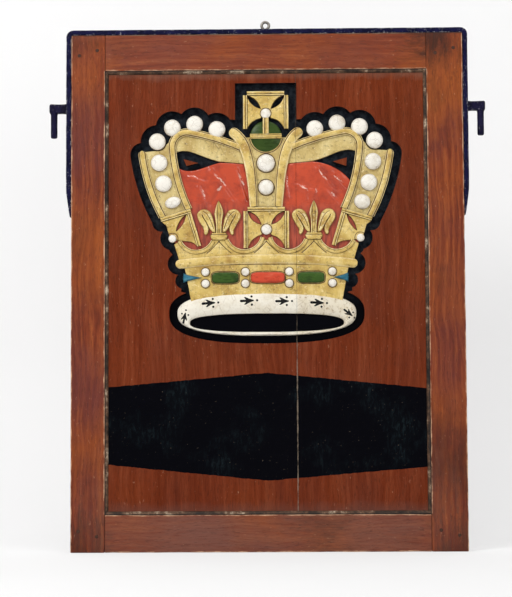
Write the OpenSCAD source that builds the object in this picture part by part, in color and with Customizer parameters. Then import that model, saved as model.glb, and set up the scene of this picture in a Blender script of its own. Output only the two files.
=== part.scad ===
// Framed tavern sign: two-board panel with a carved and gilded crown, an iron strap hanger and two pintle hooks.
// Millimetres, X to the right, Z up, front towards -Y. The origin lies midway between the pintle shoulders.

/* [Frame] */
// Width over both stiles
frame_w = 694; // [660:1:780]
// Height of the stiles
frame_h = 914; // [890:1:1000]
// Thickness of stiles and rails
frame_t = 38; // [36:0.5:50]
// Width of the left stile
left_stile_w = 60; // [54:1:70]
// Width of the right stile
right_stile_w = 64; // [54:1:70]
// Width of the top rail
top_rail_w = 65; // [58:1:78]
// Width of the bottom rail
bottom_rail_w = 65; // [58:1:78]
// Rounding of the stiles' top outer corners
corner_r = 4; // [3:0.5:8]
// Thickness of a tenon
tenon_t = 12; // [9:0.5:14]
// Shoulder left on each edge of a tenon
tenon_shoulder = 14; // [12:0.5:17]
// Clearance of a tenon in its mortise
tenon_clear = 0.2; // [0.1:0.05:0.4]
// Diameter of a frame peg
peg_d = 7; // [5:0.5:9]
// Clearance round a peg
peg_clear = 0.1; // [0.05:0.05:0.3]
// Distance across the stile between the two pegs of a corner
peg_pitch_x = 32; // [24:1:36]
// Difference in height between the two pegs of a corner
peg_pitch_z = 9; // [4:1:14]

/* [Panel] */
// Thickness of the boards
board_t = 22; // [18:0.5:24]
// Depth of the boards' face behind the frame's face
reveal = 6; // [4:0.5:8]
// Depth of the groove that holds the boards
groove_d = 9; // [7:0.5:12]
// Room between a board's edge and the groove's floor
board_play = 0.4; // [0.2:0.1:1]
// Clearance of a board's faces in the groove
board_clear = 0.15; // [0.1:0.05:0.3]
// Board joint to the right of the frame's middle
seam_x = 51; // [48:0.5:54]
// Width of the open board joint
seam_gap = 0.5; // [0.3:0.1:1.5]
// Width of the bead strips
bead_w = 6; // [4:0.5:9]
// Height of the bead strips over the boards
bead_h = 5; // [3:0.5:6]
// Depth of the sunk ground below the boards' face
ground_depth = 12; // [11:0.5:14]
// Margin of the sunk ground round the crown
ground_w = 14; // [10:0.5:18]

/* [Hanger] */
// Thickness of the strap
strap_t = 9; // [6:0.5:12]
// Width of the strap across the edge
strap_w = 34; // [26:0.5:36]
// Outer radius of the strap's bends
strap_bend_r = 12; // [12:0.5:16]
// Length of the strap's legs below the frame's top
strap_leg = 325; // [280:1:400]
// Length of the thinned ends
strap_taper = 45; // [20:1:70]
// Thickness at the very end of a leg
strap_tip_t = 3; // [2:0.5:5]
// Drop from the frame's top to the pintle shoulders
hook_drop = 138; // [110:1:170]
// Distance of a pintle's axis from the strap's face
pin_out = 24; // [20:0.5:32]
// Diameter of a pintle
pin_d = 12; // [10:0.5:16]
// Length of a pintle below its arm
pin_len = 44; // [30:1:60]
// Height of a hook's arm
arm_h = 17; // [14:0.5:22]
// Depth of a hook's arm, front to back
arm_d = 14; // [12:0.5:20]
// Length of arm beyond a pintle's axis
arm_over = 8; // [6.5:0.5:10]
// Diameter of the shank driven through the strap
shank_d = 10; // [7:0.5:12]
// Depth of the shank in the stile
shank_in = 36; // [20:1:40]
// Clearance round shanks and screws
iron_clear = 0.15; // [0.1:0.05:0.3]
// Diameter of a strap screw
screw_d = 5; // [4:0.5:6]
// Diameter of a screw's head
screw_head_d = 10; // [8:0.5:12]
// Depth of a screw in the wood
screw_in = 26; // [18:1:32]
// Distance of the outer top screws from the middle
screw_top_x = 240; // [180:1:260]
// Distance of the first leg screws above the pintle shoulders
screw_leg_up = 56; // [40:1:60]
// Distance of the second leg screws below the pintle shoulders
screw_leg_down = 92; // [60:1:110]
// Outer diameter of the screw eye
eye_d = 18; // [15:0.5:24]
// Diameter of the screw eye's wire
eye_wire_d = 5; // [4:0.5:6]
// Depth of the screw eye's shank in the rail
eye_in = 30; // [20:1:40]

/* [Crown] */
// Crown axis, left or right of the frame's middle
crown_x = -2; // [-6:0.5:2]
// Drop from the frame's top to the crown's datum, the lower cross's middle
crown_drop = 349; // [345:1:360]
// Side clearance between bedded pieces
fit = 0.3; // [0.2:0.05:0.5]
// Width of the arch bands
band_w = 14; // [11:0.5:16]
// Height of the arch bands over the ground
band_h = 11; // [9:0.5:11]
// Rounding of a band's top, from edge to middle
band_round = 4; // [2:0.5:5]
// Height of the flat gilded webs over the ground
web_h = 5; // [4:0.5:6]

/* [Side arches] */
// Hoop corner's centre, from the crown axis
hoop_x = 141; // [138:0.5:146]
// Hoop corner's centre, above the datum
hoop_z = 149.5; // [147:0.5:153]
// Radius of the hoop's corner along its middle
hoop_r = 25.5; // [22:0.5:29]
// Radius of the hoop's leg
leg_r = 315; // [295:1:340]
// Direction in which the leg leaves the corner
leg_from = -4; // [-6:0.5:-2]
// Length of the leg along its sweep
leg_len = 132; // [126:1:138]
// Radius of the hoop's top limb
limb_r = 400; // [360:1:440]
// Direction in which the limb leaves the corner
limb_from = 100; // [98:0.5:102]
// Length of the limb along its sweep
limb_len = 98; // [92:1:112]
// Radius of the side bar, beyond the leg's
bar_flatter = 3; // [-4:1:10]
// Shift of the side bar's centre from the leg's centre, outwards
bar_shift_x = 52; // [48:0.5:56]
// Shift of the side bar's centre from the leg's centre, upwards
bar_shift_z = 6; // [2:0.5:10]
// Direction of the side bar's top end
bar_from = -7.4; // [-9:0.2:-6]
// Length of the side bar along its sweep
bar_len = 128; // [124:1:136]

/* [Centre arch and orb] */
// Width of the centre arch's bars
centre_band_w = 16; // [13:0.5:18]
// Radius of the centre arch's bars
centre_r = 263; // [245:1:285]
// Distance of a bar's foot from the crown axis
centre_foot_x = 23.7; // [22:0.1:26]
// Sweep of a centre bar
centre_turn = 30; // [28:0.5:32]
// Radius of the rounded end of a centre bar
bulb_r = 10; // [9:0.5:12]
// Radius of the orb
orb_r = 28; // [25:0.5:30]
// Orb's middle below the top cross's middle
orb_drop = 39; // [37:0.5:42]
// Width of the band across the orb
orb_band_w = 9; // [7:0.5:11]
// Height of the orb under its band
orb_bed_h = 4; // [3:0.5:5]

/* [Crosses] */
// Half the width of a cross without its bars
cross_half = 33; // [30:0.5:35]
// Width of a cross's bars
cross_bar_w = 7.5; // [5:0.5:9]
// Length of the openings on a cross's diagonals
lens_len = 31; // [27:0.5:33]
// Width of the openings on a cross's diagonals
lens_w = 9; // [7:0.5:10]
// Top cross's middle above the datum
top_cross_z = 207; // [204:0.5:212]
// Width of the post under the top cross
post_w = 11; // [8:0.5:13]
// Half cross's middle, from the foot of the hoop's leg, outwards
half_cross_x = 36; // [34:0.5:38]
// Half cross's middle, below the foot of the hoop's leg
half_cross_drop = 37; // [35:0.5:39]
// Tilt of the half crosses
half_cross_tilt = 16.5; // [14:0.5:19]
// Width of a half cross beyond its middle
half_cross_over = 10; // [8:0.5:12]
// Width of a half cross's plate beyond its middle, above its pearl
half_cross_waist = 4; // [2:0.5:6]
// Height of a cross's plate over the ground
cross_h = 8; // [7:0.5:8.5]
// Height of a cross's bars over the ground
cross_bar_h = 10; // [9:0.5:11]

/* [Cap, fleurs and swags] */
// Height of the cap's flat lower part over the ground
cap_h = 4; // [3:0.5:5]
// Height of the cap's swelling over the ground
cap_top_h = 10; // [8:0.5:11]
// Radius of the cap's swelling
cap_r = 255; // [220:1:300]
// Fleur's middle, from the crown axis
fleur_x = 84; // [82:0.5:86]
// Height of a fleur's tip above the datum
fleur_top = 50; // [47:0.5:53]
// Height of a fleur's petals over the ground
fleur_h = 9; // [7:0.5:10]
// Reach of a fleur's side petals from its middle
petal_out = 31; // [30:0.5:32]
// Width of a fleur's side petals
petal_w = 15; // [13:0.5:15.5]
// Width of a fleur's middle petal
tip_w = 16.5; // [14:0.5:17]
// Half the width of a fleur's collar
collar_half = 16; // [13:0.5:16.5]
// Width of the swags' bead
swag_w = 6; // [5:0.5:8]
// Height of the swags over the ground
swag_h = 9; // [7:0.5:10]
// Inner swag's centre, from the crown axis
swag_in_x = 39; // [38:0.5:40]
// Radius of the inner swags
swag_in_r = 33; // [32:0.5:34]
// Outer swag's centre, from the crown axis
swag_out_x = 124; // [123:0.5:125]
// Radius of the outer swags
swag_out_r = 32; // [31:0.5:33]
// Depth of the swags' lowest line below the datum
swag_low = 38; // [37:0.5:39]
// Height of the gilded field under the swags
swag_field_h = 6; // [5:0.5:7]

/* [Circlet and ermine] */
// Width of the half-round rib over the circlet
rib_w = 17; // [14:0.5:19]
// Rib's middle below the datum, on the crown axis
rib_drop = 52; // [50:0.5:54]
// Radius of the rib's sweep
rib_r = 1427; // [1200:1:1700]
// Half the rib's length without its round ends
rib_half = 152; // [148:0.5:156]
// Half the circlet's width at the rib
circlet_top = 147; // [142:0.5:149]
// Half the circlet's width at the ermine
circlet_foot = 133; // [128:0.5:138]
// Height of the circlet over the ground
circlet_h = 7; // [5:0.5:8]
// Ermine's middle below the datum
ermine_drop = 148.5; // [146:0.5:152]
// Half the ermine's width
ermine_a = 158; // [154:0.5:164]
// Half the ermine's height
ermine_b = 39; // [37:0.5:42]
// Half the opening's width
mouth_a = 136; // [130:0.5:140]
// Half the opening's height
mouth_b = 16.5; // [14:0.5:18]
// Opening's middle below the ermine's middle
mouth_drop = 16; // [14:0.5:17]
// Fullness of the ermine's outline, 2 for an ellipse
ermine_full = 2.6; // [2.2:0.1:3.2]
// Height of the ermine over the ground
ermine_h = 10; // [8:0.5:11]
// Height of the ermine's edges over the ground
ermine_edge_h = 5; // [3:0.5:6]

/* [Pearls and jewels] */
// Radius of the arch pearls
pearl_r = 15; // [12:0.5:16]
// Rise of an arch pearl's dome
pearl_rise = 5.5; // [4:0.5:6]
// Distance of the hoop's outer pearls from the hoop's middle line
pearl_out = 16.5; // [15:0.5:18]
// Distance of the inner row of pearls from the leg's middle line
pearl_row_out = 26; // [24:0.5:27]
// Height of the inner row's first pearl above the leg's start, along the row
pearl_row_up = 12.5; // [11:0.5:15]
// Distance between pearls of the inner row
pearl_row_step = 38; // [36:0.5:39]
// Radius of the pearls on the centre arch
centre_pearl_r = 14; // [11:0.5:15]
// Radius of the pearls on the crosses
cross_pearl_r = 9; // [7:0.5:10]
// Radius of the pearls at the sides and on the circlet
small_pearl_r = 7; // [5:0.5:7.5]
// Rise of a small pearl's dome
small_pearl_rise = 3.2; // [2:0.2:3.4]
// Half the length of the green jewels
green_half = 24; // [20:0.5:24.5]
// Half the length of the red jewel
red_half = 29; // [24:0.5:31]
// Half the width of the jewels
jewel_half_w = 10; // [8:0.5:11]
// Rise of the jewels over the circlet
jewel_rise = 4; // [3:0.5:5]
// Length of the blue pointed jewels
blue_len = 27; // [22:0.5:29]
// Half the width of a blue jewel's broad end
blue_half_w = 8; // [6:0.5:9]

/* [Hidden] */
$fn = 64;
arc_fn = 360;
over = 1;
deep = 60;
far = 400;

frame_top = hook_drop;
frame_bottom = frame_top - frame_h;
opening_top = frame_top - top_rail_w;
opening_bottom = frame_bottom + bottom_rail_w;
opening_left = -frame_w / 2 + left_stile_w;
opening_right = frame_w / 2 - right_stile_w;
front_y = -frame_t / 2;
board_y = front_y + reveal;
ground_y = board_y + ground_depth;
bite = groove_d - board_play;

pin_x = frame_w / 2 + strap_t + pin_out;
strap_top = frame_top + strap_t;
strap_end = frame_top - strap_leg;
bend_in = strap_bend_r - strap_t;
eye_ring_r = (eye_d - eye_wire_d) / 2;
eye_x = crown_x;
head_h = (screw_head_d - screw_d) / 2;
top_screws = [-screw_top_x, -screw_top_x / 3, screw_top_x / 3, screw_top_x];
leg_screws = [screw_leg_up, -screw_leg_down];

crown_z = frame_top - crown_drop;
seam_u = seam_x - crown_x;

// Angle that a length takes up along an arc
function turn_of(length, r) = length / r * 180 / PI;
// A point at an angle on a circle
function polar(c, r, a) = [c[0] + r * cos(a), c[1] + r * sin(a)];
// Points along an arc, both ends included
function arc_points(c, r, from, to, steps) = [for (i = [0:steps]) polar(c, r, from + (to - from) * i / steps)];
// Points along a cubic curve between two ends, drawn towards two handles
function curve(a, b, c, d, steps) = [
    for (i = [0:steps])
        let (t = i / steps, s = 1 - t)
        s * s * s * a + 3 * s * s * t * b + 3 * s * t * t * c + t * t * t * d
];
// Signed power, for rounded bars between an ellipse and a rectangle
function bend(x, p) = sign(x) * pow(abs(x), p);
function rounded_bar(a, b, full, steps) = [
    for (i = [0:steps - 1])
        let (t = 360 * (i + 0.5) / steps)
        [a * bend(cos(t), 2 / full), b * bend(sin(t), 2 / full)]
];
function mirrored(points) = [for (p = reversed(points)) [-p[0], p[1]]];
// Radius of a dome from its half width and rise
function dome_r(half, rise) = (half * half + rise * rise) / (2 * rise);

// Across a band: share of the half width, and share of the rounding that is lost there; below 0 is the foot
band_section = [[-1, -1], [-1, 1], [-0.7, 0.45], [-0.35, 0.11], [0, 0], [0.35, 0.11], [0.7, 0.45], [1, 1], [1, -1]];
// Half widths that close to a round end over the first points of a path
function round_end(half, points) = [
    for (i = [0:len(points) - 1])
        let (d = min(norm(points[i] - points[0]) + half / 12, half))
        sqrt(half * half - (half - d) * (half - d))
];
function reversed(list) = [for (i = [len(list) - 1:-1:0]) list[i]];
// Points that lead into a path over a round end of the given reach
function lead_in(p, dir, reach) = [for (t = [1, 0.9, 0.65, 0.35]) p + dir * reach * t];
function direction(a) = [cos(a), sin(a)];

leg_turn = turn_of(leg_len, leg_r);
limb_turn = turn_of(limb_len, limb_r);
bar_r = leg_r + bar_flatter;
bar_turn = turn_of(bar_len, bar_r);
hoop_c = [hoop_x, hoop_z];
leg_c = polar(hoop_c, hoop_r - leg_r, leg_from);
limb_c = polar(hoop_c, hoop_r - limb_r, limb_from);
bar_c = leg_c + [bar_shift_x, bar_shift_z];
bar_top = polar(bar_c, bar_r, bar_from);
leg_foot = polar(leg_c, leg_r, leg_from - leg_turn);
cross_top = cross_half + cross_bar_w;
centre_c = [centre_foot_x + centre_r, cross_top + fit];
bulb_c = polar(centre_c, centre_r, 180 - centre_turn);
orb_z = top_cross_z - orb_drop;
half_c = leg_foot + [half_cross_x, -half_cross_drop];
hoop_path = concat(
    arc_points(leg_c, leg_r, leg_from - leg_turn, leg_from - 3, 7),
    arc_points(hoop_c, hoop_r, leg_from, limb_from, 9),
    arc_points(limb_c, limb_r, limb_from + 2, limb_from + limb_turn, 6)
);
bar_path = concat(
    lead_in(bar_top, direction(bar_from + 90), band_w / 2),
    arc_points(bar_c, bar_r, bar_from, bar_from - bar_turn, 9)
);
centre_path = concat(
    lead_in(bulb_c, direction(90 - centre_turn), bulb_r),
    arc_points(centre_c, centre_r, 180 - centre_turn, 180, 9)
);
row_r = leg_r + pearl_row_out;
rib_c = [0, -rib_drop - rib_r];
rib_turn = asin(rib_half / rib_r);
rib_end = polar(rib_c, rib_r, 90 - rib_turn);
rib_lead = lead_in(rib_end, direction(-rib_turn), rib_w / 2);
rib_path = concat(rib_lead, arc_points(rib_c, rib_r, 90 - rib_turn, 90 + rib_turn, 8), mirrored(rib_lead));
swag_in_c = [swag_in_x, swag_in_r - swag_low];
swag_out_c = [swag_out_x, swag_out_r - swag_low];
swag_in_from = -165;
swag_in_to = -21;
swag_out_from = -155;
swag_out_to = -24;
swag_peak = swag_in_c[1] + swag_in_r * sin(swag_in_to);
field_top = swag_peak - over;
field_bite = swag_w / 4;
petal_foot = -6;
// Ends and handles of a side petal's middle line, and its width along it as a share of the full width
petal_line = [[2, petal_foot], [8, 45], [petal_out + 13, 45], [petal_out - 7, -4]];
petal_shares = [0.6, 0.7, 0.8, 0.9, 0.95, 0.9, 0.88, 0.9, 0.95, 1, 0.95, 0.75, 0.3];
petal_path = curve(petal_line[0], petal_line[1], petal_line[2], petal_line[3], len(petal_shares) - 1);
tip_path = [for (t = [0, 0.25, 0.45, 0.6, 0.75, 0.9, 1]) [0, petal_foot + t * (fleur_top - petal_foot)]];
tip_shares = [0.6, 0.6, 0.75, 1, 0.8, 0.4, 0.05];
collar_top = -5;
collar_mid = -10;
collar_neck = 0.78;
ermine_c = [0, -ermine_drop];
mouth_c = ermine_c - [0, mouth_drop];
lens_mid = cross_half * sqrt(2) - lens_len / 2 - 1;
jewel_z = -(rib_drop + rib_w / 2 + ermine_drop - ermine_b) / 2;
pearl_pair = 10.5;
pearl_pairs = [40, 115];
green_x = (pearl_pairs[0] + pearl_pairs[1]) / 2 + 1;
room_lead = 1;
blue_in = 3;
// Outer edge of a half cross's plate, in its own drawing, from its middle up
half_edge = [
    [0, 0], [half_cross_waist, small_pearl_r],
    [half_cross_waist, cross_half - cross_bar_w], [half_cross_over, cross_half]
];
// How far the sunk ground's bay at the rib's end is pushed out
rib_bay = 3;
// How far the web between the centre bars stops short of their tops, in degrees
web_short = 2.5;
blue_tip_r = 0.5;
corner_pearl_turn = 53;
limb_pearls = [7.3, 48];
upper_pearl_gap = 6;
lower_pearl_gap = 20;
ermine_shoulder = 1.5;
ermine_steps = 72;
ground_steps = 96;

// Ends and handles of the cap's top edges and of the webs' lower edge
cap_edge_left = [[156, 112], [134, 98], [112, 112], [82, 120]];
cap_edge_right = [[152, 84], [136, 106], [112, 118], [82, 121]];
web_edge = [[166, 136], [140, 152], [118, 130], [82, 122]];
// Corners of the islands left standing in the openings over the cap
island_left = [[-146, 126], [-141, 114], [-120, 119]];
island_right = [[118, 120], [142, 112], [143, 127]];
// Where the cap's edges meet the arches' middle lines, in degrees along them
cap_on_leg = [4, 14];
cap_on_centre = [17, 8];
cap_foot_in = 4;
swell_c = [fleur_x + 8, fleur_top + 54];

// A point in a half cross's own tilted directions
function half_pt(a, b) = half_c + [
    a * cos(half_cross_tilt) + b * sin(half_cross_tilt),
    b * cos(half_cross_tilt) - a * sin(half_cross_tilt)
];

// Helpers

// Lays a drawing of the crown on the sunk ground, its height towards the front
module crown() {
    translate([crown_x, ground_y, crown_z]) rotate([90, 0, 0]) children();
}
module side(s) {
    mirror([s < 0 ? 1 : 0, 0, 0]) children();
}
module both_sides() {
    for (s = [-1, 1]) side(s) children();
}
// Parts of the crown on the left and on the right board
module on_left() {
    intersection() {
        children();
        translate([seam_u - seam_gap / 2 - 2 * far, -far, -over]) cube([2 * far, 2 * far, deep]);
    }
}
module on_right() {
    intersection() {
        children();
        translate([seam_u + seam_gap / 2, -far, -over]) cube([2 * far, 2 * far, deep]);
    }
}
// Section of a moulding with a rounded top
module moulding(w, h, rise) {
    intersection() {
        translate([-w / 2, 0]) square([w, h]);
        translate([0, h - dome_r(w / 2, rise)]) circle(dome_r(w / 2, rise));
    }
}
// Half-round band carried along a path, with its own half width at every point
module sweep(path, halves, seat, h, rise) {
    last = len(path) - 1;
    n = len(band_section);
    points = [
        for (i = [0:last])
            let (
                run = path[min(i + 1, last)] - path[max(i - 1, 0)],
                across = [run[1], -run[0]] / norm(run)
            )
            for (s = band_section) [
                path[i][0] + across[0] * halves[i] * s[0],
                path[i][1] + across[1] * halves[i] * s[0],
                s[1] < 0 ? seat : h - rise * s[1]
            ]
    ];
    faces = concat(
        [
            for (i = [0:last - 1], k = [0:n - 1])
                let (a = i * n + k, b = i * n + (k + 1) % n)
                each [[a, b + n, b], [a, a + n, b + n]]
        ],
        [[for (k = [0:n - 1]) k], [for (k = [n - 1:-1:0]) last * n + k]]
    );
    polyhedron(points, faces);
}
// Plain ring sector from radius a to radius b, for cutting
module arc_blank(c, a, b, from, turn) {
    translate([c[0], c[1], -over])
        rotate_extrude(start = turn < 0 ? from + turn : from, angle = abs(turn), $fn = arc_fn)
            translate([a, 0]) square([b - a, deep]);
}
// Drum with a domed top, from a seat to the boards' face
module pearl(c, r, seat, rise) {
    drum = ground_depth - seat - rise;
    translate([c[0], c[1], seat]) rotate_extrude() intersection() {
        square([r, drum + rise]);
        translate([0, drum + rise - dome_r(r, rise)]) circle(dome_r(r, rise));
    }
}
// Pointed oval between two circles, along X
module lens(len, w) {
    r = dome_r(len / 2, w / 2);
    intersection() {
        translate([0, r - w / 2]) circle(r);
        translate([0, w / 2 - r]) circle(r);
    }
}

// Frame

// Tenon of a rail, or its mortise with room
module tenon(x, w, z, rail_w, room) {
    translate([x - room, -tenon_t / 2 - room, z + tenon_shoulder - room])
        cube([w + 2 * room, tenon_t + 2 * room, rail_w - 2 * tenon_shoulder + 2 * room]);
}
module pegs(d, len) {
    for (corner = [
        [-frame_w / 2 + left_stile_w / 2, frame_top - top_rail_w / 2, 1],
        [frame_w / 2 - right_stile_w / 2, frame_top - top_rail_w / 2, 1],
        [-frame_w / 2 + left_stile_w / 2, frame_bottom + bottom_rail_w / 2, -1],
        [frame_w / 2 - right_stile_w / 2, frame_bottom + bottom_rail_w / 2, -1]
    ], e = [-1, 1])
        translate([corner[0] + e * peg_pitch_x / 2, 0, corner[1] + e * corner[2] * peg_pitch_z / 2])
            rotate([90, 0, 0]) cylinder(d = d, h = len, center = true);
}
module panel_groove() {
    translate([opening_left - groove_d, board_y - board_clear, opening_bottom - groove_d])
        cube([
            opening_right - opening_left + 2 * groove_d,
            board_t + 2 * board_clear,
            opening_top - opening_bottom + 2 * groove_d
        ]);
}
module stile(s, w) {
    color("sienna") difference() {
        translate([s < 0 ? -frame_w / 2 : frame_w / 2 - w, front_y, frame_bottom]) cube([w, frame_t, frame_h]);
        panel_groove();
        tenon(s < 0 ? -frame_w / 2 - over : frame_w / 2 - w - over, w + 2 * over,
            frame_top - top_rail_w, top_rail_w, tenon_clear);
        tenon(s < 0 ? -frame_w / 2 - over : frame_w / 2 - w - over, w + 2 * over,
            frame_bottom, bottom_rail_w, tenon_clear);
        pegs(peg_d + 2 * peg_clear, frame_t + 2 * over);
        side(s) rounded_corner_cut();
        side(s) translate([frame_w / 2 - shank_in, 0, arm_h / 2]) rotate([0, 90, 0])
            cylinder(d = shank_d + 2 * iron_clear, h = shank_in + over);
        side(s) leg_screw_row(iron_clear);
    }
}
module rounded_corner_cut() {
    translate([frame_w / 2 - corner_r, 0, frame_top - corner_r]) rotate([90, 0, 0]) difference() {
        translate([0, 0, -frame_t]) cube([corner_r + over, corner_r + over, 2 * frame_t]);
        cylinder(r = corner_r, h = 3 * frame_t, center = true);
    }
}
module rail(z, w) {
    length = opening_right - opening_left;
    color("saddlebrown") difference() {
        union() {
            translate([opening_left, front_y, z]) cube([length, frame_t, w]);
            tenon(-frame_w / 2, frame_w, z, w, 0);
        }
        panel_groove();
        pegs(peg_d + 2 * peg_clear, frame_t + 2 * over);
        top_screw_row(iron_clear);
        translate([eye_x, 0, frame_top - eye_in - iron_clear])
            cylinder(d = eye_wire_d + 2 * iron_clear, h = eye_in + strap_t + over);
    }
}
module left_stile() { stile(-1, left_stile_w); }
module right_stile() { stile(1, right_stile_w); }
module top_rail() { rail(frame_top - top_rail_w, top_rail_w); }
module bottom_rail() { rail(frame_bottom, bottom_rail_w); }
module frame_pegs() {
    color("#2b1a12") pegs(peg_d, frame_t);
}

// Panel

module board(from, to) {
    color("#7d3728") difference() {
        translate([from, board_y, opening_bottom - bite])
            cube([to - from, board_t, opening_top - opening_bottom + 2 * bite]);
        crown() sunk_ground();
    }
}
module left_board() { board(opening_left - bite, seam_x - seam_gap / 2); }
module right_board() { board(seam_x + seam_gap / 2, opening_right + bite); }

// Strip of quarter-round section along X, its ends mitred, with its back edge on the X axis
module bead_strip(len) {
    intersection() {
        rotate([90, 0, 90]) linear_extrude(len) intersection() {
            square([bead_w, bead_h]);
            translate([0, bead_h - bead_w]) circle(bead_w);
        }
        linear_extrude(bead_w) polygon([[0, 0], [len, 0], [len - bead_w, bead_w], [bead_w, bead_w]]);
    }
}
module bead(x, z, turn, len) {
    color("#5d4a3c") translate([x, board_y, z]) rotate([90, 0, 0]) rotate([0, 0, turn]) bead_strip(len);
}
module bead_bottom() { bead(opening_left, opening_bottom, 0, opening_right - opening_left); }
module bead_right() { bead(opening_right, opening_bottom, 90, opening_top - opening_bottom); }
module bead_top() { bead(opening_right, opening_top, 180, opening_right - opening_left); }
module bead_left() { bead(opening_left, opening_top, 270, opening_top - opening_bottom); }

// Sunk ground of the boards, with two small islands left standing at the boards' face
module sunk_ground() {
    depth = ground_depth + over;
    ground_waist = [0.8 * ground_w, -0.6 * cross_half];
    inside = concat(
        [[0, top_cross_z]],
        [bulb_c],
        arc_points(limb_c, limb_r, limb_from + 6, limb_from, 2),
        arc_points(hoop_c, hoop_r, limb_from - 20, leg_from, 4),
        arc_points(bar_c, bar_r, bar_from, bar_from - bar_turn, 5),
        [half_pt(half_cross_over, cross_half), half_c],
        [half_pt(ground_waist[0], ground_waist[1]), rib_end, [circlet_top, jewel_z]],
        [[(circlet_top + circlet_foot) / 2 + ground_w - rib_bay, -ermine_drop + ermine_b]],
        [ermine_c]
    );
    difference() {
        linear_extrude(depth) polygon(concat(inside, mirrored(inside)));
        for (corners = [island_left, island_right])
            translate([0, 0, -over]) linear_extrude(depth + 2 * over) polygon(corners);
    }
    translate([-cross_top - ground_w, orb_z, 0])
        cube([2 * (cross_top + ground_w), top_cross_z + cross_top + ground_w - orb_z, depth]);
    margin = band_w / 2 + ground_w;
    both_sides() {
        ground_arc(hoop_c, hoop_r, limb_from, leg_from - limb_from, margin, depth);
        ground_arc(limb_c, limb_r, limb_from, limb_turn, margin, depth);
        ground_arc(bar_c, bar_r, bar_from, -bar_turn, margin, depth);
        for (p = concat(outer_pearls(), [inner_pearls()[0]])) floor_disc(p, pearl_r + ground_w, depth);
        floor_disc(bar_top, margin, depth);
        floor_disc(bulb_c, bulb_r + ground_w, depth);
        floor_disc(half_c, small_pearl_r + ground_w, depth);
        floor_disc(half_pt(half_cross_over, cross_half), ground_w + cross_bar_w / 3, depth);
        floor_disc(rib_end + [rib_bay, 0], rib_w / 2 + ground_w - rib_bay, depth);
        floor_disc([circlet_top, jewel_z - pearl_pair / 2], ground_w, depth);
    }
    translate([ermine_c[0], ermine_c[1], 0]) linear_extrude(depth)
        polygon(rounded_bar(ermine_a + ground_w, ermine_b + ground_w, ermine_full, ground_steps));
}
module floor_disc(c, r, depth) {
    translate([c[0], c[1], 0]) cylinder(r = r, h = depth);
}
module disc_room(c, r) {
    translate([c[0], c[1], -over]) cylinder(r = r, h = deep);
}
module ground_arc(c, r, from, turn, margin, depth) {
    translate([c[0], c[1], 0])
        rotate_extrude(start = turn < 0 ? from + turn : from, angle = abs(turn), $fn = arc_fn)
            translate([r - band_w / 2, 0]) square([band_w / 2 + margin, depth]);
}

// Hanger

module hanger_strap() {
    color("#191930") difference() {
        union() {
            translate([-frame_w / 2 + bend_in, -strap_w / 2, frame_top])
                cube([frame_w - 2 * bend_in, strap_w, strap_t]);
            both_sides() {
                translate([frame_w / 2 - bend_in, strap_w / 2, frame_top - bend_in]) rotate([90, 0, 0])
                    rotate_extrude(angle = 90) translate([bend_in, 0]) square([strap_t, strap_w]);
                translate([0, strap_w / 2, 0]) rotate([90, 0, 0]) linear_extrude(strap_w) polygon([
                    [frame_w / 2, frame_top - bend_in],
                    [frame_w / 2, strap_end],
                    [frame_w / 2 + strap_tip_t, strap_end],
                    [frame_w / 2 + strap_t, strap_end + strap_taper],
                    [frame_w / 2 + strap_t, frame_top - bend_in]
                ]);
            }
        }
        both_sides() {
            translate([frame_w / 2 - over, 0, arm_h / 2]) rotate([0, 90, 0])
                cylinder(d = shank_d + 2 * iron_clear, h = strap_t + 2 * over);
            leg_screw_row(iron_clear);
        }
        top_screw_row(iron_clear);
        translate([eye_x, 0, frame_top - over])
            cylinder(d = eye_wire_d + 2 * iron_clear, h = strap_t + 2 * over);
    }
}
// Forged arm with its pintle and the shank that goes through the strap into the stile
module hook() {
    union() {
        translate([frame_w / 2 + strap_t, -arm_d / 2, 0]) cube([pin_out + arm_over, arm_d, arm_h]);
        translate([pin_x, 0, -pin_len]) cylinder(d = pin_d, h = pin_len + arm_h / 2);
        translate([frame_w / 2 - shank_in + iron_clear, 0, arm_h / 2]) rotate([0, 90, 0])
            cylinder(d = shank_d, h = shank_in + strap_t + pin_out / 2);
    }
}
module left_hook() {
    color("#15151c") side(-1) hook();
}
module right_hook() {
    color("#15151c") hook();
}
// Countersunk screw pointing down from the origin, or its hole with room
module screw(room) {
    union() {
        translate([0, 0, -head_h - room]) cylinder(d1 = screw_d + 2 * room, d2 = screw_head_d + 4 * room,
            h = head_h + room);
        translate([0, 0, -strap_t - screw_in - room])
            cylinder(d = screw_d + 2 * room, h = strap_t + screw_in - head_h / 2);
    }
}
module top_screw_row(room) {
    for (x = top_screws) translate([x, 0, strap_top]) screw(room);
}
module leg_screw_row(room) {
    for (z = leg_screws) translate([frame_w / 2 + strap_t, 0, z]) rotate([0, 90, 0]) screw(room);
}
module strap_screws() {
    color("#3a3a44") {
        top_screw_row(0);
        both_sides() leg_screw_row(0);
    }
}
module screw_eye() {
    color("#6b6660") union() {
        translate([eye_x, 0, strap_top + eye_d / 2]) rotate([90, 0, 0])
            rotate_extrude() translate([eye_ring_r, 0]) circle(d = eye_wire_d);
        translate([eye_x, 0, frame_top - eye_in]) cylinder(d = eye_wire_d, h = eye_in + strap_t + eye_wire_d / 2);
    }
}

// Crown: cap

// Red cap: flat behind the gilded crest, swelling between the arches above it
module cap_solid() {
    difference() {
        union() {
            linear_extrude(cap_h) polygon(concat(cap_half(cap_edge_right), mirrored(cap_half(cap_edge_left))));
            for (s = [-1, 1]) side(s) intersection() {
                linear_extrude(ground_depth) polygon(cap_half(s < 0 ? cap_edge_left : cap_edge_right));
                translate([swell_c[0], swell_c[1], cap_top_h - cap_r]) sphere(cap_r, $fn = arc_fn);
            }
        }
        both_sides() {
            hoop_room();
            centre_bar_room();
            arch_web_room();
        }
        rib_room();
        side_pearl_room();
    }
}
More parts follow.
